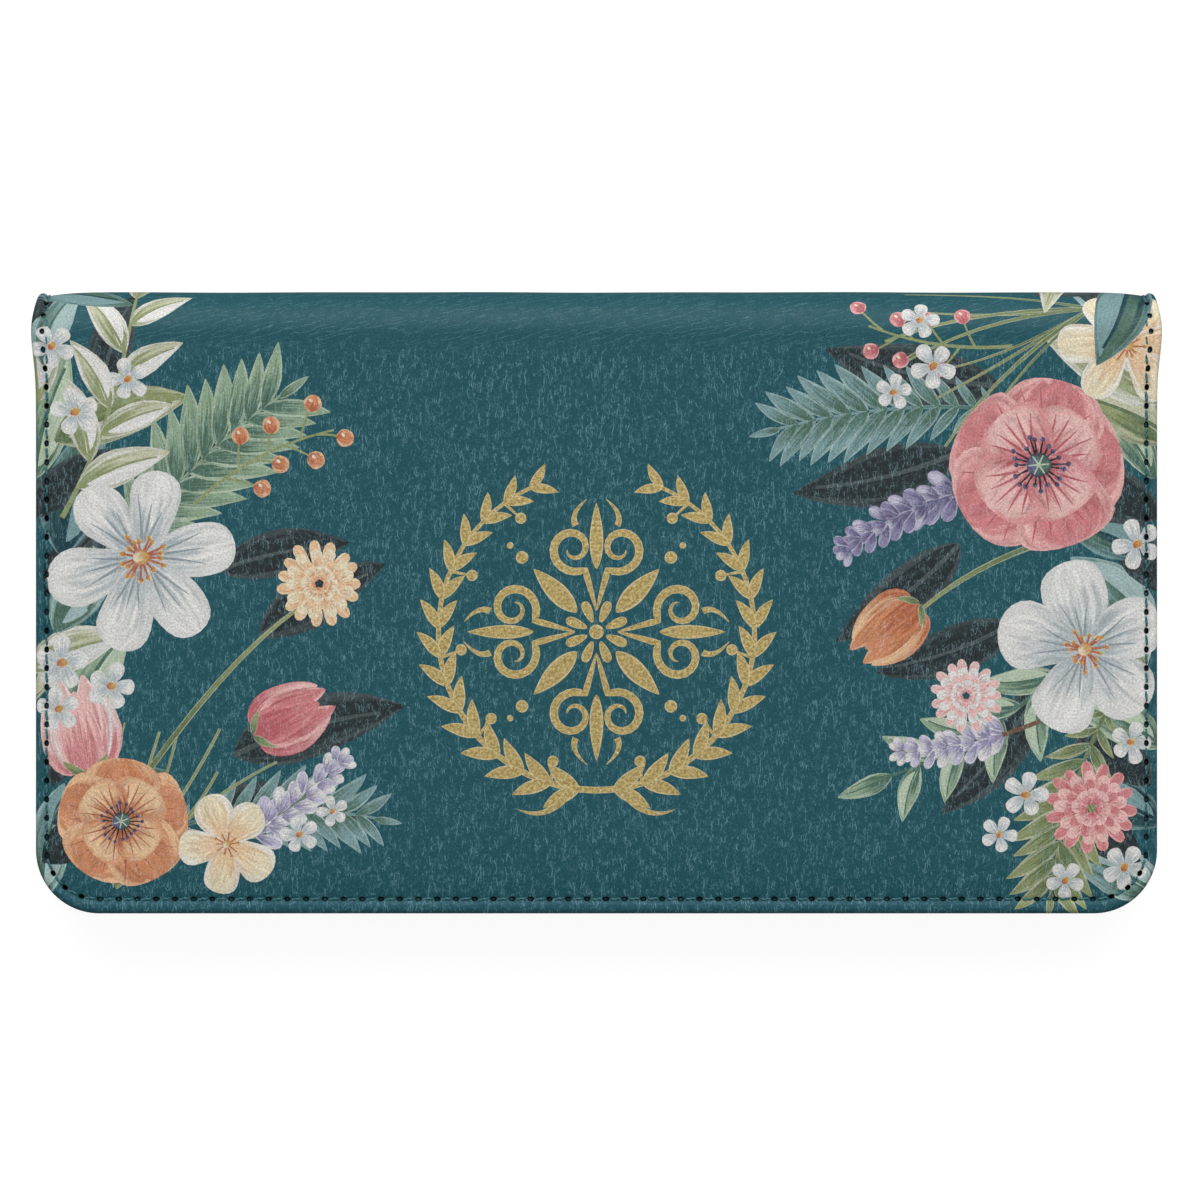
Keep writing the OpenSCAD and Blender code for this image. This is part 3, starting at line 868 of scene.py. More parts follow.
def poppy(centre, radius, turn, tones, dark):
    # broad crinkled petals in two rings round a dark seed head
    for ring, count, share in ((0, 5, 1.0), (1, 4, 0.72)):
        ringTones = withTipsSwapped(tones) if ring else tones
        for k in range(count):
            angle = turn + 360 / count * k + ring * 31 + draw.uniform(-6, 6)
            length = radius * share * draw.uniform(0.94, 1.05)
            path = bowed(polar(centre, angle, -radius * 0.06), angle, length, draw.uniform(-0.06, 0.06))
            stroke(path, length * 1.12, "petal", ringTones, steps=15, waver=0.06)
            for side in (-2, -1, 0, 1, 2):
                lean = angle + side * 12
                stroke((polar(centre, lean, length * 0.3), polar(centre, lean + side, length * 0.6),
                        polar(centre, lean + side * 3, length * draw.uniform(0.74, 0.88))),
                       radius * 0.04, "tail", (tones[0], tones[0], ringTones[1]), steps=6)
    for k in range(20):
        angle = turn + 18 * k + draw.uniform(-5, 5)
        reach = radius * draw.uniform(0.2, 0.31)
        spoke(centre, angle, radius * 0.1, reach, radius * 0.025, "stem", "ink", 3)
        spoke(centre, angle, reach - radius * 0.025, reach + radius * 0.03, radius * 0.055, "round",
              ("ink", dark, dark), 5)
    spoke(centre, turn, -radius * 0.13, radius * 0.13, radius * 0.25, "round", (dark, "fir", "ink"), 9)
    for k in range(6):
        ray = (centre, polar(centre, turn + 60 * k, radius * 0.11))
        stroke(ray, radius * 0.022, "stem", "paleSage", steps=3)


def tulip(base, angle, size, tones, green):
    # a cup of pointed petals, the middle one in front
    for lean, share, wide in ((-17, 0.93, 0.42), (17, 0.95, 0.42), (-9, 1.02, 0.4), (9, 1.0, 0.4)):
        turn = angle + lean * 0.5
        stroke((polar(base, angle + lean * 4, size * 0.1), polar(base, angle + lean * 1.9, size * 0.55),
                polar(base, turn + lean * 0.2, size * share)), size * wide, "tulip",
               withTipsSwapped(tones) if abs(lean) > 10 else tones, steps=13)
    stroke((base, polar(base, angle + 2, size * 0.5), polar(base, angle, size * 0.86)), size * 0.44, "tulip",
           (tones[0], tones[1], tones[1]), steps=13)
    for side in (-1, 0, 1):
        stroke((polar(base, angle, size * 0.08), polar(base, angle + side * 14, size * 0.4),
                polar(base, angle + side * 7, size * draw.uniform(0.62, 0.74))), size * 0.028, "tail",
               (tones[0], tones[0], tones[1]), steps=6)
    for side in (-1, 1):
        leaf(base, angle + side * 52, size * 0.3, size * 0.09, side * 0.12, green)


def marigold(centre, radius, tones):
    # rings of small blunt petals, each ring over the last
    for ring, count in enumerate((15, 13, 11, 8, 5)):
        share = 1 - ring * 0.19
        for k in range(count):
            angle = 360 / count * k + ring * 13 + draw.uniform(-4, 4)
            reach = radius * share * draw.uniform(0.95, 1.04)
            broad = radius * 0.52 * share ** 0.6 * 6.5 / count ** 0.93
            petalTones = (tones[0], tones[1 + ring % 2], tones[2])
            spoke(centre, angle, reach * 0.35, reach, broad, "petal", petalTones, 8)


def starlet(centre, radius, turn, tones, heart):
    # a small flower of five round petals
    for k in range(5):
        angle = turn + 72 * k + draw.uniform(-6, 6)
        reach = radius * draw.uniform(0.92, 1.05)
        spoke(centre, angle, radius * 0.12, reach, radius * 0.66, "petal", tones, 9)
        stroke((polar(centre, angle, radius * 0.2), polar(centre, angle + 3, radius * 0.62)),
               radius * 0.07, "tail", tones[0], steps=4)
    spoke(centre, turn, -radius * 0.2, radius * 0.2, radius * 0.38, "round", heart, 8)


def fern(base, angle, length, bend, pairs, tones, spread=0.3):
    path = bowed(base, angle, length, bend)
    stem(path, 0.7, (tones[0], tones[1], tones[1]))
    for _, t, point, heading in upTwig(path, pairs, 0.12, 0.86):
        reach = length * spread * math.sin(math.pi * (0.2 + 0.76 * (1 - t))) * draw.uniform(0.92, 1.08)
        for side in (-1, 1):
            leaf(point, heading + side * (56 - 18 * t), reach, reach * 0.27, side * -0.08, tones)
    leaf(polar(path[2], angle, -length * 0.02), heading, length * 0.13, length * 0.035, 0, tones)


def broadSpray(base, angle, length, bend, count, size, tones, vein):
    # leaves set by turns along a stem
    path = bowed(base, angle, length, bend)
    stem(path, 0.8, tones[0])
    for k, t, point, heading in upTwig(path, count, 0.14, 0.84):
        side = 1 if k % 2 else -1
        reach = size * (1 - 0.35 * t) * draw.uniform(0.9, 1.1)
        angle = heading + side * draw.uniform(38, 52)
        leaf(point, angle, reach, reach * 0.36, side * -0.1, tones, vein, tones[2])
    leaf(path[2], heading, size * 0.75, size * 0.25, 0.05, tones, vein)


def berries(base, angle, length, bend, count, size, twig, tones):
    path = bowed(base, angle, length, bend)
    stem(path, 0.6, twig)
    for k, _, point, _ in upTwig(path, count, 0.25, 0.75):
        turn = angle + (1 if k % 2 else -1) * draw.uniform(35, 60)
        reach = size * draw.uniform(1.5, 2.3)
        end = polar(point, turn, reach)
        stem((point, polar(point, turn + 8, reach * 0.6), end), 0.42, twig)
        spoke(end, turn, -size * 0.5, size * 0.5, size, "round", tones, 10)
        gleam = (polar(end, 100, size * 0.1), polar(end, 130, size * 0.34))
        stroke(gleam, size * 0.17, "round", "cream", steps=5)


def bellSpike(base, angle, length, bend, pairs, size, twig, tones):
    # small bells crowded up a stem, the lower ones larger
    path = bowed(base, angle, length, bend)
    stem(path, 0.7, twig)
    for _, t, point, _ in upTwig(path, pairs, 0.3, 0.7):
        reach = size * (1.15 - 0.6 * t)
        for lean in (-72, 64, -28, 22):
            turn = angle + lean + draw.uniform(-12, 12)
            bellTones = tones if draw.random() < 0.6 else withTipsSwapped(tones)
            stroke((polar(point, turn, reach * 0.1), polar(point, turn - lean * 0.2, reach * 0.6),
                    polar(point, turn - lean * 0.3, reach * draw.uniform(0.95, 1.2))),
                   reach * 0.5, "drop", bellTones, steps=8)


def grasses(base, angle, length, count, fan, tones):
    for k in range(count):
        turn = angle + fan * (k / (count - 1) - 0.5) + draw.uniform(-3, 3)
        reach = length * draw.uniform(0.75, 1.05)
        stem(bowed(base, turn, reach, draw.uniform(-0.12, 0.12), 0.55), draw.uniform(0.45, 0.8), tones)


def darkLeaves(place, share, bend, spots):
    # shadowy leaves behind a bouquet
    at, aim, turned = place
    for x, s, angle, length in spots:
        leaf(at(x, s), aim(angle), length, length * share, bend * turned, shades["dark"], "ash")


def edgeFoliage(place):
    # leaves crowded up the side edge, behind the flowers
    at, aim, turned = place
    kinds = (("mint", "paleMint"), ("dark", None), ("pale", "chalk"), ("fir", "mint"), ("olive", "paleOlive"),
             ("smoke", None), ("sage", "paleSage"))
    for k in range(17):
        shade, light = kinds[(k * 5) % len(kinds)]
        length = draw.uniform(15, 22)
        spot, angle = at(draw.uniform(-3, 4), 2 + 5.8 * k), aim(draw.uniform(18, 84))
        leaf(spot, angle, length, length * draw.uniform(0.34, 0.46), 0.1 * turned, shades[shade],
             shades[shade][0], light)


def starlets(at, spots):
    for x, s, radius in spots:
        starlet(at(x, s), radius, draw.uniform(0, 72), shades["white"], shades["heart"])


def bouquetLow(place):
    # a low full bouquet
    at, aim, turned = place
    darkLeaves(place, 0.36, 0.08, ((30, 24, 16, 27), (26, 16, -8, 25), (34, 42, 30, 22), (20, 60, 62, 24),
                                   (28, 52, 12, 20), (10, 78, 74, 18)))
    edgeFoliage(place)
    fern(at(8, 46), aim(48), 44, 0.12 * turned, 13, shades["sage"])
    fern(at(18, 12), aim(4), 34, 0.14 * turned, 11, shades["mint"], 0.26)
    broadSpray(at(4, 60), aim(72), 36, -0.1 * turned, 7, 15, shades["pale"], "olive")
    grasses(at(12, 4), aim(58), 30, 9, 74, shades["olive"])
    bellSpike(at(26, 8), aim(38), 27, -0.1 * turned, 8, 4.4, "moss", shades["lavender"])
    berries(at(24, 62), aim(28), 24, 0.14 * turned, 7, 2.7, "olive", shades["orange"])
    stem((at(16, 20), at(30, 40), at(41, 47)), 1.0, shades["olive"])
    marigold(at(43, 50), 6.6, shades["peach"])
    tulip(at(33, 27), aim(26), 13, shades["coral"], shades["olive"])
    tulip(at(8, 21), aim(100), 15, shades["blush"], shades["olive"])
    blossom(at(16, 54), 14, 6, 12, 0.62, shades["white"], "slate", shades["heart"])
    poppy(at(13, 14), 10.5, 20, shades["orange"], "plum")
    blossom(at(29, 10.5), 7.6, 5, 40, 0.78, shades["cream"], "peach", shades["heart"])
    starlets(at, ((4, 38, 4.3), (11.5, 34.5, 3.7), (3.5, 31, 3.4), (6, 76, 3.8), (14, 81, 3.3), (3, 86, 3.5),
                  (40, 12, 2.9), (45, 15.5, 2.4)))


def bouquetHigh(place):
    # a bouquet that hangs from the fold, heavier at its top
    at, aim, turned = place
    darkLeaves(place, 0.34, -0.08, ((30, 70, -14, 26), (24, 80, 12, 27), (30, 56, -38, 24), (18, 34, -52, 24),
                                    (22, 44, -20, 22), (8, 20, -66, 19)))
    edgeFoliage(place)
    broadSpray(at(12, 40), aim(-34), 34, -0.14 * turned, 8, 12, shades["sage"], "fir")
    fern(at(20, 76), aim(-4), 38, 0.1 * turned, 12, shades["mint"], 0.26)
    fern(at(6, 34), aim(-72), 33, 0.1 * turned, 11, shades["olive"], 0.3)
    grasses(at(10, 92), aim(-20), 32, 8, 60, shades["olive"])
    bellSpike(at(22, 66), aim(-24), 29, 0.12 * turned, 9, 4.6, "bark", shades["violet"])
    bellSpike(at(16, 30), aim(-12), 25, -0.12 * turned, 8, 4.0, "bark", shades["lavender"])
    berries(at(22, 86), aim(8), 22, -0.12 * turned, 7, 2.5, "olive", shades["coral"])
    stem((at(18, 56), at(30, 52), at(38, 44)), 1.0, shades["olive"])
    tulip(at(36, 47), aim(-40), 12.5, shades["orange"], shades["olive"])
    poppy(at(18, 68), 14.5, 5, shades["coral"], "plum")
    blossom(at(11, 40), 12.5, 5, 30, 0.8, shades["white"], "slate", shades["heart"])
    blossom(at(5, 86), 9.5, 6, 0, 0.64, shades["cream"], "peach", shades["heart"])
    marigold(at(29, 33), 5.6, shades["blush"])
    marigold(at(10, 16), 7.0, shades["coral"])
    starlets(at, ((34, 83, 3.6), (40, 79, 2.9), (36, 90, 3.1), (3, 56, 3.8), (4, 26, 3.3), (20, 18, 3.5),
                  (24, 12, 2.8), (5, 7, 3.6), (14, 5, 3.0)))


foilWork = {
    "middle": (0.0, 42.7),  # x across and s along the front panel
    "radius": 24.0,         # of the wreath
    "leaves": 15,           # pairs up each branch
    "leafLength": 6.3,      # of the lowest pair
    "berry": 1.7,
    "scrollAway": 12.6,     # from the middle to the eye of a scroll
    "scrollRadius": 3.3,
    "lineWidth": 1.25,
}


def ornament():
    # a foil wreath of two laurel branches round a scrolled rosette, alike on both sides
    radius, leaves, berry, wide = (foilWork[name] for name in ("radius", "leaves", "berry", "lineWidth"))

    def at(turn, reach):
        return polar(foilWork["middle"], turn, reach)

    def line(points, width, form, steps=14):
        stroke(points, width, form, "ochre", foil=1.0, steps=steps, waver=0.0)

    for side in (-1, 1):
        line([at(-90 + side * a, radius) for a in np.linspace(-9, 158, 34)], wide * 0.8, "stem", 34)
        for k in range(leaves):
            turn = 6 + 149 * k / (leaves - 1)
            root = at(-90 + side * turn, radius)
            heading = -90 + side * (turn + 90)
            size = foilWork["leafLength"] * (1 - 0.32 * k / leaves)
            for lean in (-1, 1):
                line(bowed(root, heading + lean * 33, size, lean * -0.11), size * 0.34, "leaf", 10)
            if k % 3 == 1:
                end = polar(root, heading + 78 * side, 3.4)
                line((root, end), 0.5, "stem", 3)
                line((polar(end, 0, -berry / 2), polar(end, 0, berry / 2)), berry, "round", 10)
        line((at(-90 + side * 9, radius), at(-90 + side * 14, radius + 6), at(-90 + side * 24, radius + 5.4)),
             wide, "tail")
    for quarter in range(4):
        heading = 90 * quarter + 90
        for side in (-1, 1):
            eye = polar(at(heading, foilWork["scrollAway"]), heading + 90 * side, 3.55)
            scroll = [at(heading, 3.2)]
            for t in np.linspace(0, 1, 36):
                reach = foilWork["scrollRadius"] * (1 - 0.83 * t) + 0.35
                scroll.append(polar(eye, heading - side * (150 + 470 * t), reach))
            line(scroll, wide, "stroke", 40)
            line((at(heading + side * 11, 16.4), at(heading + side * 13, 18.4), at(heading + side * 4, 20.2)),
                 wide * 0.8, "tail", 10)
        for turn, near, far, width, form, steps in (
                (0, 9.5, 19.6, 2.1, "leaf", 12), (45, 4.2, 13.5, 3.0, "leaf", 14),
                (45, 15.0, 16.9, 1.9, "round", 10), (45, 18.0, 19.0, 1.0, "round", 8)):
            line((at(heading + turn, near), at(heading + turn, far)), width, form, steps)
    for k in range(8):
        line((at(45 * k + 22.5, 1.5), at(45 * k + 22.5, 5.0)), 1.5, "petal", 9)
    line((at(0, -1.1), at(0, 1.1)), 2.2, "round", 10)


def turnedPlace(flipX, flipS):
    # places, angles and bends for a bouquet drawn from one side edge, upright or upside down
    def at(x, s):
        return ((halfWidth - x) * flipX, s if flipS > 0 else 2 * crest - s)

    def aim(angle):
        turn = math.radians(angle)
        return math.degrees(math.atan2(math.sin(turn) * flipS, -math.cos(turn) * flipX))

    return at, aim, -flipX * flipS


bouquetLow(turnedPlace(-1, 1))
bouquetHigh(turnedPlace(1, 1))
bouquetLow(turnedPlace(1, -1))
bouquetHigh(turnedPlace(-1, -1))
ornament()
print("design drawn with", len(design), "brush marks")


# Outer leather

seam = {
    "side": 1.65,           # from the cover's sides
    "free": 2.2,            # from the free edge
    "pitch": 2.85,
    "holeLength": 1.02,
    "holeWidth": 0.74,
    "threadWidth": 0.4,
    "fineWidth": 0.3,
    "holeRings": (1.12, 0.92, 0.45),  # shares of a hole's size at which the sheet has rings of points
    "holePoints": 10,
    "stitchGap": 0.47,      # from the middle of a hole to the end of the stitch
    "slant": 0.08,          # how far the ends of a stitch lie to either side of the line
    "waver": 0.05,          # how far a stitch strays from its line
    "rise": 0.04,           # how much higher than the holes the middle of an edge stitch lies
}
seamShape = outline(halfWidth - seam["side"], seam["free"], crest,
                    cornerRadius - (seam["side"] + seam["free"]) / 2, opened=True)
seamRight = [p for p in ringAt(seamShape, 0, 0.25, False) if p[0] >= 0]
seamSteps = np.linalg.norm(np.diff(np.array(seamRight), axis=0), axis=1)
seamLengths = np.concatenate([[0], np.cumsum(seamSteps)])
seamCount = round(seamLengths[-1] / seam["pitch"])
seamPitch = seamLengths[-1] / seamCount


def seamPlace(travel, side):
    # a place on the edge seam, by its distance from the middle of the free edge
    over = max(travel - seamLengths[-1], 0)
    x, s = (np.interp(abs(travel), seamLengths, [p[k] for p in seamRight]) for k in (0, 1))
    return np.array([x * np.sign(travel + 1e-9) * side, s + over])


def seamTravel(x, s):
    # the same distance, for any place near the seam
    half, low, radius = seamShape["half"], seamShape["low"], seamShape["lowRadius"]
    a, b = np.abs(x) - (half - radius), low + radius - s
    corner = half - radius + radius * np.arctan2(np.maximum(a, 0), np.maximum(b, 1e-6))
    side = half - radius + radius * math.pi / 2 - np.minimum(b, 0)
    return np.where((a > 0) & (b > 0), corner, np.where(a > 0, side, np.abs(x)))


leather = {
    "edgeRadius": 0.85,     # round over the edge
    "tuckRadius": 0.4,      # round where it turns under
    "tucked": 1.7,          # length turned under, which the lining covers
    "pared": 0.3,           # thickness of the turned edges
    "fleshDepth": 1.46,     # of the flesh side under the seam, below the needle holes
    "holeDepth": 0.55,
    "seamDepth": 0.62,      # how far the seam pulls the padded face down
    "slope": 3.0,           # how far in the face falls to the seam
    "rim": 0.55,            # how far out it rises again
    "crown": 0.14,          # depth of the rim outside the seam
    "groove": (0.13, 0.3),  # depth and reach of the groove that the thread lies in
    "pucker": (0.07, 0.8),  # depth and reach of the dents between one stitch and the next
    "uneven": 0.035,        # depth of the hollows in the padded face
    "flare": 0.75,          # how far the ends of the fold stand out
    "flareReach": (5.5, 16.0),  # along the edge to either side of the fold, and in from the edge
}
outerShape = outline(halfWidth, 0.0, crest, cornerRadius, opened=True)
sideDrop = liningDepth - leather["edgeRadius"] - leather["tuckRadius"]
wrapLength = (leather["edgeRadius"] + leather["tuckRadius"]) * math.pi / 2 + sideDrop + leather["tucked"]
skinEdge = leather["edgeRadius"] - wrapLength


def reliefAt(x, s):
    # depth of the padded face: it falls to the seam, is pulled in at each needle hole and rises to a soft rim
    inside = edgeDistance(seamShape, x, s)[0]
    crown, seamDepth = leather["crown"], leather["seamDepth"]
    (groove, grooveReach), (pucker, puckerReach) = leather["groove"], leather["pucker"]
    inner = seamDepth * np.exp(-(np.maximum(inside, 0) / leather["slope"]) ** 1.15)
    outer = crown + (seamDepth - crown) * np.exp(-(np.minimum(inside, 0) / leather["rim"]) ** 2)
    depth = np.where(inside > 0, inner, outer)
    depth = depth + groove * np.exp(-(inside / grooveReach) ** 2)
    phase = seamTravel(x, s) / seamPitch
    depth = depth + pucker * np.exp(-(inside / puckerReach) ** 2) * -np.cos(2 * math.pi * phase)
    uneven = np.sin(x * 0.11 + 1.3) * np.sin(s * 0.083 + 0.4) + 0.6 * np.sin(x * 0.23 - s * 0.17)
    return depth + leather["uneven"] * (1 + uneven) * smooth(2, 12, inside)


def holeReach(x, s):
    # distance from the nearest needle hole, 1 at its rim
    inside = edgeDistance(seamShape, x, s)[0]
    phase = seamTravel(x, s) / seamPitch - 0.5
    along = (phase - np.round(phase)) * seamPitch
    return np.hypot(along / (seam["holeLength"] / 2), inside / (seam["holeWidth"] / 2))


def skinPlace(side):
    # how a place on the flat leather lies over the foam, round the edge and under it, and over the fold
    edge, tuck = leather["edgeRadius"], leather["tuckRadius"]
    alongReach, inwardReach = leather["flareReach"]

    def place(x, s):
        inside, outX, outS = edgeDistance(outerShape, x, s)
        travel = np.maximum(edge - inside, 0)
        turn = np.clip(travel / edge, 0, math.pi / 2)
        rest = np.maximum(travel - edge * math.pi / 2, 0)
        drop = np.minimum(rest, sideDrop)
        curl = np.clip((rest - sideDrop) / tuck, 0, math.pi / 2)
        under = np.maximum(rest - sideDrop - tuck * math.pi / 2, 0)
        inset = edge * (1 - np.sin(turn)) + tuck * (1 - np.cos(curl)) + under
        depth = edge * (1 - np.cos(turn)) + drop + tuck * np.sin(curl)
        shift = np.where(travel > 0, inside - inset, 0)
        planX, planS = x + outX * shift, s + outS * shift
        depth = depth + reliefAt(x, s) * np.cos(turn)
        depth = depth + leather["holeDepth"] * (1 - smooth(0.3, 1.0, holeReach(x, s)))
        atFold = np.exp(-((planS - flatLength - 0.5) / alongReach) ** 2)
        planX = planX + np.sign(x) * leather["flare"] * atFold * smooth(inwardReach, 0, inside)
        return foldOver(planX, planS, depth, side)

    return place


def holeLoops():
    # rings of points round each needle hole, cut into the sheet
    turns = np.linspace(0, 2 * math.pi, seam["holePoints"], endpoint=False)
    for k in range(seamCount):
        for side in (-1, 1):
            here = seamPlace(seamPitch * (k + 0.5), side)
            heading = seamPlace(seamPitch * (k + 0.5) + 0.05, side) - here
            heading /= np.linalg.norm(heading)
            across = np.array([-heading[1], heading[0]])
            for share in seam["holeRings"]:
                yield [here + heading * math.cos(a) * share * seam["holeLength"] / 2
                       + across * math.sin(a) * share * seam["holeWidth"] / 2 for a in turns]


def marksOn(side):
    # the brush marks as they lie on one panel's sheet
    reachX = halfWidth - skinEdge
    for mark in design:
        centre = mark["centre"].copy()
        if side == "back":
            centre[:, 1] = 2 * crest - centre[:, 1]
        reach = mark["half"].max()
        low, high = centre.min(axis=0) - reach, centre.max(axis=0) + reach
        if low[1] < crest and high[1] > skinEdge and low[0] < reachX and high[0] > -reachX:
            yield {**mark, "centre": centre}


def paintSheet(piece, flat, faces, painted, marks):
    # colours each corner of the painted faces, which come first, by the last brush mark over it
    corners = flat[faces].reshape(-1, 2)
    middles = flat[faces[:painted]].mean(axis=1)
    owner = np.full(painted, -1)
    for index, mark in enumerate(marks):
        ring = outlineOfStroke(mark)
        near = np.flatnonzero(((middles > ring.min(axis=0)) & (middles < ring.max(axis=0))).all(axis=1))
        owner[near[insideRing(ring, middles[near])]] = index
    place = np.zeros((len(corners), 3))
    names = ("paintRoot", "paintTip", "paintRim")
    colours = [np.tile((*tone(*printedFinish["ground"]), 0.0), (len(corners), 1)) for _ in names]
    for index in np.unique(owner[owner >= 0]):
        mark = marks[index]
        mine = (np.flatnonzero(owner == index)[:, None] * 3 + np.arange(3)).ravel()
        along, across = placeInStroke(mark, corners[mine])
        place[mine] = np.column_stack([along, across, np.full(len(mine), mark["seed"] + 1)])
        for values, name in zip(colours, mark["tones"]):
            values[mine] = (*tone(*palette[name]), mark["foil"])
    setAttribute(piece, "paintPlace", "FLOAT_VECTOR", "CORNER", place)
    for name, values in zip(names, colours):
        setAttribute(piece, name, "FLOAT_COLOR", "CORNER", values)


def cutSkin(marks):
    # the face, with the needle holes and brush marks cut in, and a coarser flesh side that shares its border
    edge, tucked = leather["edgeRadius"], leather["tucked"]
    insets = [skinEdge, *(skinEdge + tucked + gap for gap in (0, 0.32, 0.63))]
    insets += [edge - edge * math.pi / 2 * share for share in (1.0, 0.75, 0.5, 0.25)]
    insets += [edge, 1.15, 1.4, 1.65, 1.95, 2.25, 2.6, 3.1, 3.8, 4.8, 6.2]
    rows = np.linspace(flatLength, crest, 14)[:-1]
    loops = [*holeLoops(), *(outlineOfStroke(mark) for mark in marks)]
    flat, faces = cutSheet(outerShape, insets, 0.95, 1.7, loops=loops, rows=rows)
    border = borderOf(faces)[0]
    under, underFaces = cutSheet(outerShape, [skinEdge, *insets[3:13:3], insets[-2]], 1.0, 3.2, flat[border],
                                 rows=rows[::2])
    edged = borderOf(underFaces)[0]
    gaps = np.linalg.norm(under[edged][:, None] - flat[border][None], axis=2)
    shared = np.full(len(under), -1)
    shared[edged] = np.array(border)[gaps.argmin(axis=1)]
    own = shared < 0
    places = np.where(own, len(flat) + np.cumsum(own) - 1, shared)
    underFaces = places[underFaces[own[underFaces].any(axis=1)]]
    whole = [len(set(face)) == 3 for face in underFaces.tolist()]
    return np.concatenate([flat, under[own]]), len(flat), faces, underFaces[whole]


def fleshDepths(x, s):
    # thickness of leather and padding together: pared at the edge, held down by the seam and full inside it
    inside, relief, pared = edgeDistance(outerShape, x, s)[0], reliefAt(x, s), leather["pared"]
    atSeam = np.maximum(leather["fleshDepth"] - relief, pared)
    thick = pared + (atSeam - pared) * smooth(0.85, 1.2, inside)
    full = np.maximum(foamDepth - 0.03 - relief, pared)
    return thick + (full - thick) * smooth(3, 6, inside)


def makeSkin(name, side):
    marks = list(marksOn(side))
    spread, facePoints, faces, underFaces = cutSkin(marks)
    x, s = spread[:, 0], spread[:, 1]
    top = np.arange(len(x)) < facePoints
    place = skinPlace(side)
    if side == "front":
        away, shell = 1, np.concatenate([faces, underFaces[:, ::-1]])
    else:
        away, shell = -1, np.concatenate([faces[:, ::-1], underFaces])
    normals = outward(place, x, s) * away
    flesh = np.where(top, 0, fleshDepths(x, s))
    piece = newPiece(name, place(x, s) - normals * flesh[:, None], shell, leatherPrint)
    setPlaces(piece, x, s)
    # where the needle holes get their painted shade
    setAttribute(piece, "needleHoleShade", "FLOAT", "POINT", (1 - smooth(0.93, 1.1, holeReach(x, s))) * top)
    paintSheet(piece, spread, shell, len(faces), marks)
    piece.data.normals_split_custom_set_from_vertices((normals * np.where(top, 1, -1)[:, None]).tolist())
    hinge(piece, side, foamDepth)
    print(name, len(shell), "faces,", len(marks), "brush marks")
    return piece


skinFront = makeSkin("skinFront", "front")
skinBack = makeSkin("skinBack", "back")
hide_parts("outer_front", "outer_spine")
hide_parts("outer_back", "outer_spine")


# Sewing

def strandMesh():
    # one stitch: a six-sided strand between -1 and 1 along Z, closed at both ends
    bm = bmesh.new()
    bmesh.ops.create_cone(bm, cap_ends=True, cap_tris=True, segments=6, radius1=1, radius2=1, depth=2)
    long = [e for e in bm.edges if abs(e.verts[0].co.z - e.verts[1].co.z) > 1.5]
    bmesh.ops.subdivide_edges(bm, edges=long, cuts=7, use_grid_fill=True)
    vertices = np.array([v.co[:] for v in bm.verts])
    faces = [[v.index for v in f.verts] for f in bm.faces]
    bm.free()
    return vertices, faces


def sew(name, runs, width, side):
    # stitches between pairs of places: each run has its two ends, the depth of the face that it lies on, the
    # way that the face looks and how far the ends sink
    stray = random.Random(len(name))
    shape, shapeFaces = strandMesh()
    u, turn = shape[:, 2], np.arctan2(shape[:, 1], shape[:, 0])
    around = np.hypot(shape[:, 0], shape[:, 1])
    places, faces, marks = [], [], []
    for start, end, depth, facing, sink in runs:
        start, end = np.asarray(start, float), np.asarray(end, float)
        heading = (end - start) / np.linalg.norm(end - start)
        across = np.array([-heading[1], heading[0]])
        sway = stray.uniform(-1, 1) * seam["waver"]
        thick = width / 2 * (1 - 0.3 * u ** 4) * stray.uniform(0.92, 1.06)
        lean = seam["slant"] + stray.uniform(-0.5, 0.5) * seam["waver"]
        sideways = sway * (1 - u * u) + lean * u + around * np.cos(turn) * thick
        centre = start + (end - start) * ((u + 1) / 2)[:, None] + across * sideways[:, None]
        down = np.abs(u) ** 5 * sink - width * 0.3
        deep = depth + facing * down + around * np.sin(turn) * thick * 0.9
        faces += [[k + len(places) * len(shape) for k in face] for face in shapeFaces]
        places.append(foldOver(centre[:, 0], centre[:, 1], deep, side))
        along = u * np.linalg.norm(end - start) / 2
        marks.append(np.column_stack([along, turn, np.full(len(u), len(marks) * 0.7)]))
    piece = newPiece(name, np.concatenate(places), faces, thread)
    bm = bmesh.new()
    bm.from_mesh(piece.data)
    bmesh.ops.recalc_face_normals(bm, faces=bm.faces)
    bm.to_mesh(piece.data)
    bm.free()
    setAttribute(piece, "strandPlace", "FLOAT_VECTOR", "POINT", np.concatenate(marks))
    return piece


def row(start, end, depth):
    # a straight row of stitches, on a face that looks into the cover
    start, end = np.array(start, float), np.array(end, float)
    pitch, gap, length = seam["pitch"], seam["stitchGap"], np.linalg.norm(end - start)
    count = max(1, int(length / pitch))
    heading = (end - start) / length
    first = start + heading * (length - count * pitch) / 2
    for k in range(count):
        here = first + heading * pitch * k
        yield here + heading * gap, here + heading * (pitch - gap), depth, -1, 0.25


def edgeRuns(side, mouth):
    # the edge seam's runs outside, and those inside on the pocket or the lining; the front also has
    # those on the crest
    gap = seam["stitchGap"]
    last = seamCount + (1 if side == "front" else 0)
    for k in range(last):
        for way in ((-1, 1) if k else (1,)):
            start = seamPlace(seamPitch * (k - 0.5) + gap, way)
            end = seamPlace(seamPitch * (k + 0.5) - gap, way)
            middle = (start + end) / 2
            depth = float(reliefAt(*np.array([[middle[0]], [min(middle[1], crest)]]))[0]) + seam["rise"]
            yield start, end, depth, 1, 0.5
            inside = pocketRim if middle[1] < mouth else rimDepth
            yield start, end, inside - 0.06, -1, 0.3


# Foam, lining and pockets

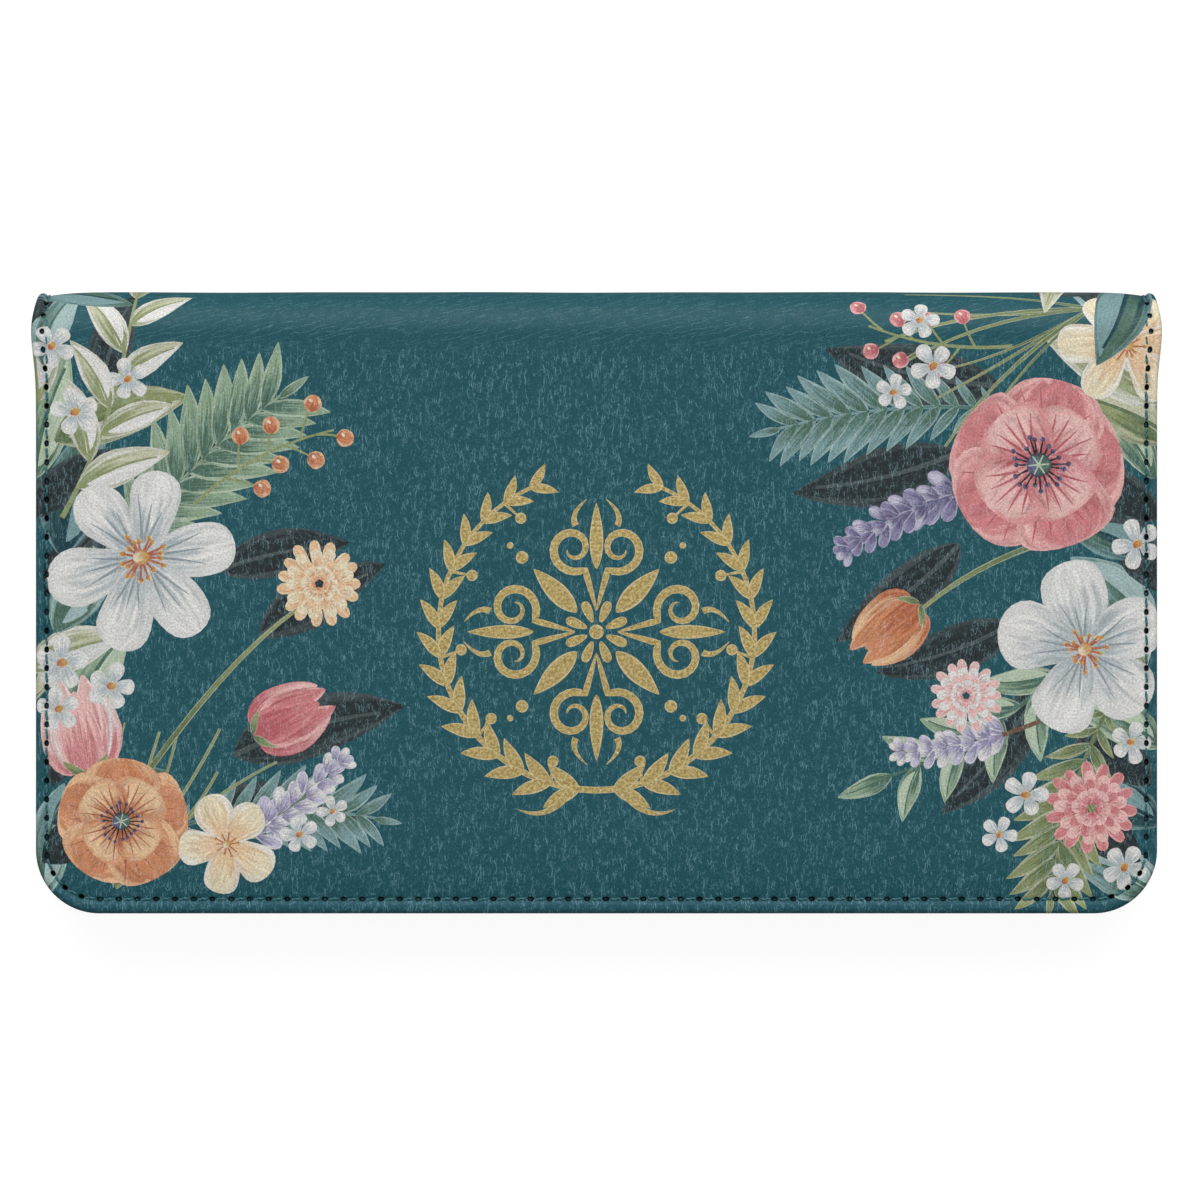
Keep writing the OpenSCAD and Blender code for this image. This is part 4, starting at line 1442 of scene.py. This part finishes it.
inner = {
    "tuckShow": 0.95,       # turned leather that shows outside the lining
    "foamSetback": 2.5,
    "pocketLeather": 0.5,
    "hemSeam": 2.0,         # from the pocket's mouth
    "hemSwell": 0.1,
    "hemGroove": 0.13,
    "seamPull": 0.16,       # how far the edge seam pulls the lining down
}
pocketRim = rimDepth + inner["pocketLeather"]
boardShape = outline(halfWidth - boardMargin, boardMargin, boardEnd, cornerRadius - boardMargin)


def boardRise(x, s, spread, ahead):
    # 0 round the rim and 1 over the board
    near = edgeDistance(boardShape, x, s)[0]
    return smooth(-ahead - spread, -ahead, near)


def seamPull(x, s):
    return inner["seamPull"] * np.exp(-(edgeDistance(seamShape, x, s)[0] / 0.5) ** 2)


def makeFoam(name, side, node):
    back = inner["foamSetback"]
    shape = outline(halfWidth - back, back, crest, cornerRadius - back, opened=True)
    cut = cutSheet(shape, [0, 0.15, 0.6], 2.5, 4.0, rows=np.linspace(flatLength, crest, 9)[:-1])
    piece = layeredSheet(name, cut, lambda x, s: foamDepth + 0 * x, lambda x, s: liningDepth - 0.02 + 0 * x,
                         side, foam, shape, rounding=0.3)
    hinge(piece, side, foamDepth)
    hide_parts(node, "spine_foam")


def makeLining(name, side, node):
    setback = inner["tuckShow"]
    shape = outline(halfWidth - setback, setback, crest, cornerRadius - setback, opened=True)
    rise = boardDepth - liningDepth
    rings = [0, 0.06, 0.12, 0.4, 0.7, 1.0, 1.4, 2.0, 2.6, 3.0, 3.4, 3.8, 4.4]
    rows = [*np.linspace(boardEnd - 0.2, boardEnd + 1.4, 7), *np.linspace(flatLength, crest, 14)[:-1]]
    cut = cutSheet(shape, rings, 1.2, 2.6, rows=rows)

    def low(x, s):
        return liningDepth + rise * boardRise(x, s, 1.0, 0.0) - seamPull(x, s) * 0.4

    piece = layeredSheet(name, cut, low, lambda x, s: low(x, s) + liningThickness - seamPull(x, s) * 0.6,
                         side, liningCloth, shape)
    hinge(piece, side, rimDepth)
    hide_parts(node, "spine_lining")
    return piece


def makePocket(name, side, node, body):
    mouth = alongOf(node)[1]
    setback = inner["tuckShow"] + 0.1
    shape = outline(halfWidth - setback, setback, mouth, cornerRadius - setback, hemRadius)
    rise = pocketDepth - pocketRim
    rings = [0, 0.08, 0.16, 0.4, 0.7, 1.0, 1.4, 1.7, 2.0, 2.3, 2.6, 2.9, 3.4]
    hem = mouth - inner["hemSeam"]
    rows = [hem + gap for gap in (-0.9, -0.45, -0.22, 0, 0.22, 0.45, 0.9)]
    cut = cutSheet(shape, rings, 1.2, 2.6, rows=rows)

    def lift(x, s):
        return rise * boardRise(x, s, 1.0, 0.6)

    def high(x, s):
        swell = smooth(hem - 1.3, hem - 0.4, s) * inner["hemSwell"]
        groove = inner["hemGroove"] * np.exp(-((s - hem) / 0.3) ** 2)
        groove = groove * smooth(1.5, 3.5, halfWidth - np.abs(x))
        return pocketRim + lift(x, s) + swell - groove - seamPull(x, s) * 0.7

    piece = layeredSheet(name, cut, lambda x, s: rimDepth + lift(x, s) - seamPull(x, s) * 0.6 + 0.01, high,
                         side, pocketLeather, shape, rounding=0.2)
    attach(piece, body)
    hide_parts(node)
    reach = halfWidth - boardMargin
    sewn = sew(node + "_seam", row((-reach, hem), (reach, hem), pocketDepth - 0.04), seam["fineWidth"], side)
    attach(sewn, body)
    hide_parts(node + "_stitching")


def makeEdgeSeam(name, side, node, mouth):
    piece = sew(name, edgeRuns(side, mouth), seam["threadWidth"], side)
    hinge(piece, side, foamDepth)
    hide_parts(node, "spine_edge_stitching")


makeFoam("foamBack", "back", "back_foam")
makeFoam("foamFront", "front", "front_foam")
makeLining("liningBack", "back", "back_lining")
makeLining("liningFront", "front", "front_lining")
makePocket("checkPocket", "back", "check_pocket", "back_cover")
makePocket("registerPocket", "front", "register_pocket", "front_cover")
makeEdgeSeam("edgeSeamBack", "back", "back_edge_stitching", alongOf("check_pocket")[1])
makeEdgeSeam("edgeSeamFront", "front", "front_edge_stitching", alongOf("register_pocket")[1])
for node in ("back_board", "front_board"):
    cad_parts[node].data.materials.clear()
    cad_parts[node].data.materials.append(card)
print("foam, lining, pockets and edge seam made")


# Card slots and window

slots = {
    "leather": 0.3,
    "border": 1.6,          # width of the leather that lies on the pocket round a slot
    "edgeSeam": 0.8,        # from the slot's edge
    "groove": 0.08,
    "filmLap": 2.5,         # how far the film runs under the leather round the window
    "filmRadii": (2.0, 2.0),    # of its low and high corners
    "windowRadii": (3.0, 3.0),
    "corner": 1.2,
}
slotHalf = boxOf("card_slot_upper")[1][0]
slotLow = alongOf("card_slot_upper")[0]


def makeSlot(name, node, window=None):
    nearDepth, farDepth = depthsOf(node)
    mouth = alongOf(node)[1]
    shape = outline(slotHalf, slotLow, mouth, slots["corner"], hemRadius)
    sewn = outline(slotHalf, slotLow, mouth + 9, slots["corner"], hemRadius)  # open at the slot's mouth
    holes = [window] if window else []
    rings = [0, 0.06, 0.13, 0.3, 0.55, 0.8, 1.05, 1.3, 1.6, 2.0, 2.5]
    cut = cutSheet(shape, rings, 1.2, 2.2, holes=holes)

    def bed(x, s):
        return smooth(slots["border"] - 0.2, slots["border"] + 0.7, edgeDistance(sewn, x, s)[0])

    def groove(x, s):
        gap = edgeDistance(sewn, x, s)[0] - slots["edgeSeam"]
        pull = np.exp(-(gap / 0.25) ** 2)
        if window:
            pull = pull + np.exp(-((edgeDistance(window, x, s)[0] + slots["filmLap"] / 2) / 0.25) ** 2)
        return slots["groove"] * np.clip(pull, 0, 1)

    lift = farDepth - nearDepth - slots["leather"]
    piece = layeredSheet(name, cut, lambda x, s: nearDepth + lift * bed(x, s),
                         lambda x, s: farDepth - 0.1 * (1 - bed(x, s)) - groove(x, s),
                         "front", pocketLeather, shape, holes, 0.13)
    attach(piece, "front_cover")
    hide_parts(node)


windowLow, windowHigh = alongOf("window_film")
windowHalf = boxOf("window_film")[1][0] - slots["filmLap"]
windowShape = outline(windowHalf, windowLow + slots["filmLap"], windowHigh - slots["filmLap"],
                      *slots["windowRadii"])
makeSlot("cardSlotUpper", "card_slot_upper")
makeSlot("cardSlotMiddle", "card_slot_middle")
makeSlot("windowSlot", "window_slot", windowShape)

filmNear, filmFar = depthsOf("window_film")
filmShape = outline(windowHalf + slots["filmLap"], windowLow, windowHigh, *slots["filmRadii"])


def filmWave(x, s):
    return 0.03 * np.sin(x * 0.09) * np.sin(s * 0.13)


windowFilm = layeredSheet("windowFilm", cutSheet(filmShape, [0, 0.05, 0.3], 2, 3),
                          lambda x, s: filmNear + filmWave(x, s),
                          lambda x, s: filmFar + filmWave(x, s) - 0.03,
                          "front", vinyl, filmShape, rounding=0.08)
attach(windowFilm, "front_cover")
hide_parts("window_film")

slotNodes = ("card_slot_upper", "card_slot_middle", "window_slot")
slotMouths = [alongOf(node)[1] for node in slotNodes]
slotFaces = [depthsOf(node)[1] - 0.16 for node in slotNodes]
seamX, seamS = slotHalf - slots["edgeSeam"], slotLow + slots["edgeSeam"]
slotRuns = list(row((-seamX, seamS), (seamX, seamS), slotFaces[2]))
for mouth, end, face in zip(slotMouths, [*slotMouths[1:], seamS], slotFaces):
    for way in (-1, 1):
        slotRuns += row((way * seamX, mouth - 0.4), (way * seamX, end + 0.4), face)
slotSeam = sew("cardSlotSeam", slotRuns, seam["fineWidth"], "front")
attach(slotSeam, "front_cover")
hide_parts("card_slot_stitching")

windowRing = ringAt(windowShape, -slots["filmLap"] / 2, 0.3)
windowRing = np.array([*windowRing, windowRing[0]])
ringLengths = np.concatenate([[0], np.cumsum(np.linalg.norm(np.diff(windowRing, axis=0), axis=1))])
ringCount = round(ringLengths[-1] / seam["pitch"])


def windowPlace(stitch):
    # a place on the window's seam, counted in stitches
    travel = stitch % ringCount / ringCount * ringLengths[-1]
    return np.array([np.interp(travel, ringLengths, windowRing[:, k]) for k in (0, 1)])


windowFace = depthsOf("window_slot")[1] - 0.06
windowSeam = sew("windowSeam", [(windowPlace(k + 0.1), windowPlace(k + 0.9), windowFace, -1, 0.25)
                                for k in range(ringCount)], seam["fineWidth"], "front")
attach(windowSeam, "front_cover")
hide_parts("window_stitching")
print("card slots and window made")


# Divider

divider = {
    "corner": 4.0,
    "swell": 0.3,       # the binding's leather stands over the sheet it holds
    "slit": 0.3,
    "bevel": 0.12,      # of the binding's edges beside the slit
    "wavy": 3.65,       # height above the ground from which the binding's leather lies in waves
    "bindingWave": 0.03,
    "rings": 62,        # of points along the binding
    "grip": 4.0,        # length of sheet inside the binding
    "wave": 0.12,       # unevenness of the clear sheet
    "bend": (0.9, -1.3),  # where the sheet's bend would start and stop, from the binding's front edge; the sheet is not bent
}


def bindingProfile(low, high, top, seamY):
    # round the strip's end, as y and z: a slit towards the free edge and a round back towards the fold
    sheetLow, sheetHigh = boxOf("divider_sheet")
    middle = (sheetLow[2] + sheetHigh[2]) / 2
    halfSlit, grip, bevel = divider["slit"] / 2, divider["grip"], divider["bevel"]
    radius = (top - low[2]) / 2
    profile = [(low[1], low[2] + bevel), (low[1] + bevel, low[2])]
    centre = (high[1] - radius, low[2] + radius)
    for k in range(9):
        angle = -math.pi / 2 + math.pi * k / 8
        profile.append((centre[0] + radius * math.cos(angle), centre[1] + radius * math.sin(angle)))
    for gap, dip in ((0.8, 0), (0.3, 0.03), (0, 0.1), (-0.3, 0.03), (-0.8, 0)):
        profile.append((seamY + gap, top - dip))
    return profile + [(low[1] + bevel, top), (low[1], top - bevel), (low[1], middle + halfSlit),
                      (low[1] + grip, middle + halfSlit), (low[1] + grip, middle - halfSlit),
                      (low[1], middle - halfSlit)]


def makeBinding():
    # a folded strip that holds the clear sheet
    low, high = boxOf("divider_binding")
    top, seamY = high[2] + divider["swell"], (low[1] + high[1]) / 2
    profile = bindingProfile(low, high, top, seamY)
    bm = bmesh.new()
    rows = np.linspace(low[0], high[0], divider["rings"])
    rings = [[bm.verts.new((x, y, z)) for y, z in profile] for x in rows]
    for ring, following in zip(rings, rings[1:]):
        for k in range(len(profile)):
            bm.faces.new((ring[k - 1], ring[k], following[k], following[k - 1]))
    for ring in (rings[0], rings[-1]):
        bm.faces.new(ring)
    for v in bm.verts:
        if v.co.z > divider["wavy"]:
            v.co.z += divider["bindingWave"] * math.sin(v.co.x * 0.31)
    bmesh.ops.recalc_face_normals(bm, faces=bm.faces)
    bmesh.ops.scale(bm, verts=bm.verts, vec=(millimetre,) * 3)
    mesh = newMesh("dividerBinding", bm)
    for polygon in mesh.polygons:
        polygon.use_smooth = abs(polygon.normal.x) < 0.9
    mesh.set_sharp_from_angle(angle=math.radians(40))
    mesh.materials.append(pocketLeather)
    piece = addObject("dividerBinding", mesh)
    x, y, z = (np.array([v.co[:] for v in mesh.vertices]) / millimetre).T
    setPlaces(piece, x, y + z)
    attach(piece, "back_cover")
    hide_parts("divider_binding")
    reach = boxOf("divider_sheet")[1][0]
    line = seamY - freeY
    sewn = sew("bindingSeam", row((-reach, line), (reach, line), top - 0.04), seam["fineWidth"], "back")
    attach(sewn, "back_cover")
    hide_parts("divider_binding_stitching")


def makeDivider():
    # a clear sheet, held in the binding; where it would bend as it comes out is worked out but not used
    low, high = boxOf("divider_sheet")
    held = boxOf("divider_binding")[0][1] + divider["grip"] - 0.4
    shape = outline(high[0], low[1] - freeY, held - freeY, divider["corner"], hemRadius)
    rows = np.linspace(high[1] - 2 - freeY, high[1] + 1.6 - freeY, 12)
    cut = cutSheet(shape, [0, 0.06, 0.5], 2.5, 4.0, rows=rows)

    def wave(x, s):
        fade = smooth(0, 25, high[1] - freeY - s)
        return divider["wave"] * fade * (1 + np.sin(x * 0.07 + 0.5) * np.cos(s * 0.06))

    piece = layeredSheet("dividerSheet", cut, lambda x, s: low[2] + 0.03 + wave(x, s),
                         lambda x, s: high[2] - 0.03 + wave(x, s), "back", vinyl, shape, rounding=0.08)
    start, end = ((0, (high[1] + gap) * millimetre, low[2] * millimetre) for gap in divider["bend"])
    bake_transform(piece)
    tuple(start)
    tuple(end)
    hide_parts("divider_sheet")


makeBinding()
makeDivider()
print("divider made")


# Floor, light and camera

photo = {
    "pixels": 1200,
    "width": 181.8,            # millimetres across the picture at the cover's face
    "middle": (596.5, 601.8),  # pixel at the cover's middle
    "lens": 200.0,
    "sensor": 36.0,
}
studio = {
    "floor": (0.2, 0.2, 0.2),
    "floorHalf": 1.6,
    "floorGap": 0.0004,       # under the cover
    "glow": 0.9,              # of the floor, so that shadows on it stay pale
    "sky": 0.22,
    "softboxes": {            # place, size and watts of each, in metres
        "foldSoftbox": ((0, 1.15, 0.75), (1.6, 0.66), 13.6),
        "rearSoftbox": ((0, 0.8, 1.2), (1.4, 0.5), 6.2),
        "frontSoftbox": ((0, -1.2, 0.8), (1.2, 0.4), 1.3),
        "leftSoftbox": ((-1.2, 0.1, 0.8), (0.4, 1.2), 2.6),
        "rightSoftbox": ((1.2, 0.1, 0.8), (0.4, 1.2), 2.6),
    },
}


def makeFloor():
    bm = bmesh.new()
    bmesh.ops.create_grid(bm, x_segments=1, y_segments=1, size=studio["floorHalf"])
    floor = addObject("floor", newMesh("floor", bm))
    floor.location.z = -studio["floorGap"]
    material = newMaterial("paleFloor", studio["floor"], 0.9, Specular_IOR_Level=0.1,
                           Emission_Strength=studio["glow"], Emission_Color=(1, 1, 1, 1))[0]
    floor.data.materials.append(material)
    floor.visible_glossy = floor.visible_diffuse = False


def makeSoftbox(name, place, size, power):
    light = bpy.data.lights.new(name, "AREA")
    light.shape, light.size, light.size_y, light.energy = "RECTANGLE", *size, power
    lamp = addObject(name, light)
    lamp.location = place
    lamp.rotation_euler = (Vector() - Vector(place)).to_track_quat("-Z", "Y").to_euler()


def makeSky():
    world = bpy.data.worlds.new("studio")
    world.use_nodes = True
    sky = world.node_tree.nodes["Background"].inputs
    sky["Color"].default_value = (1, 1, 1, 1)
    sky["Strength"].default_value = studio["sky"]
    bpy.context.scene.world = world


def makeCamera():
    data = bpy.data.cameras.new("camera")
    data.lens, data.sensor_width = photo["lens"], photo["sensor"]
    camera = addObject("camera", data)
    perPixel = photo["width"] / photo["pixels"] * millimetre
    middle = photo["pixels"] / 2
    height = photo["width"] * millimetre * photo["lens"] / photo["sensor"]
    camera.location = ((middle - photo["middle"][0]) * perPixel, (photo["middle"][1] - middle) * perPixel,
                       closedZ * millimetre + height)
    data.clip_start, data.clip_end = 0.05, 20
    bpy.context.scene.camera = camera


makeFloor()
for name, softbox in studio["softboxes"].items():
    makeSoftbox(name, *softbox)
makeSky()
makeCamera()
bpy.context.scene.view_settings.view_transform = "Standard"
print("studio made")
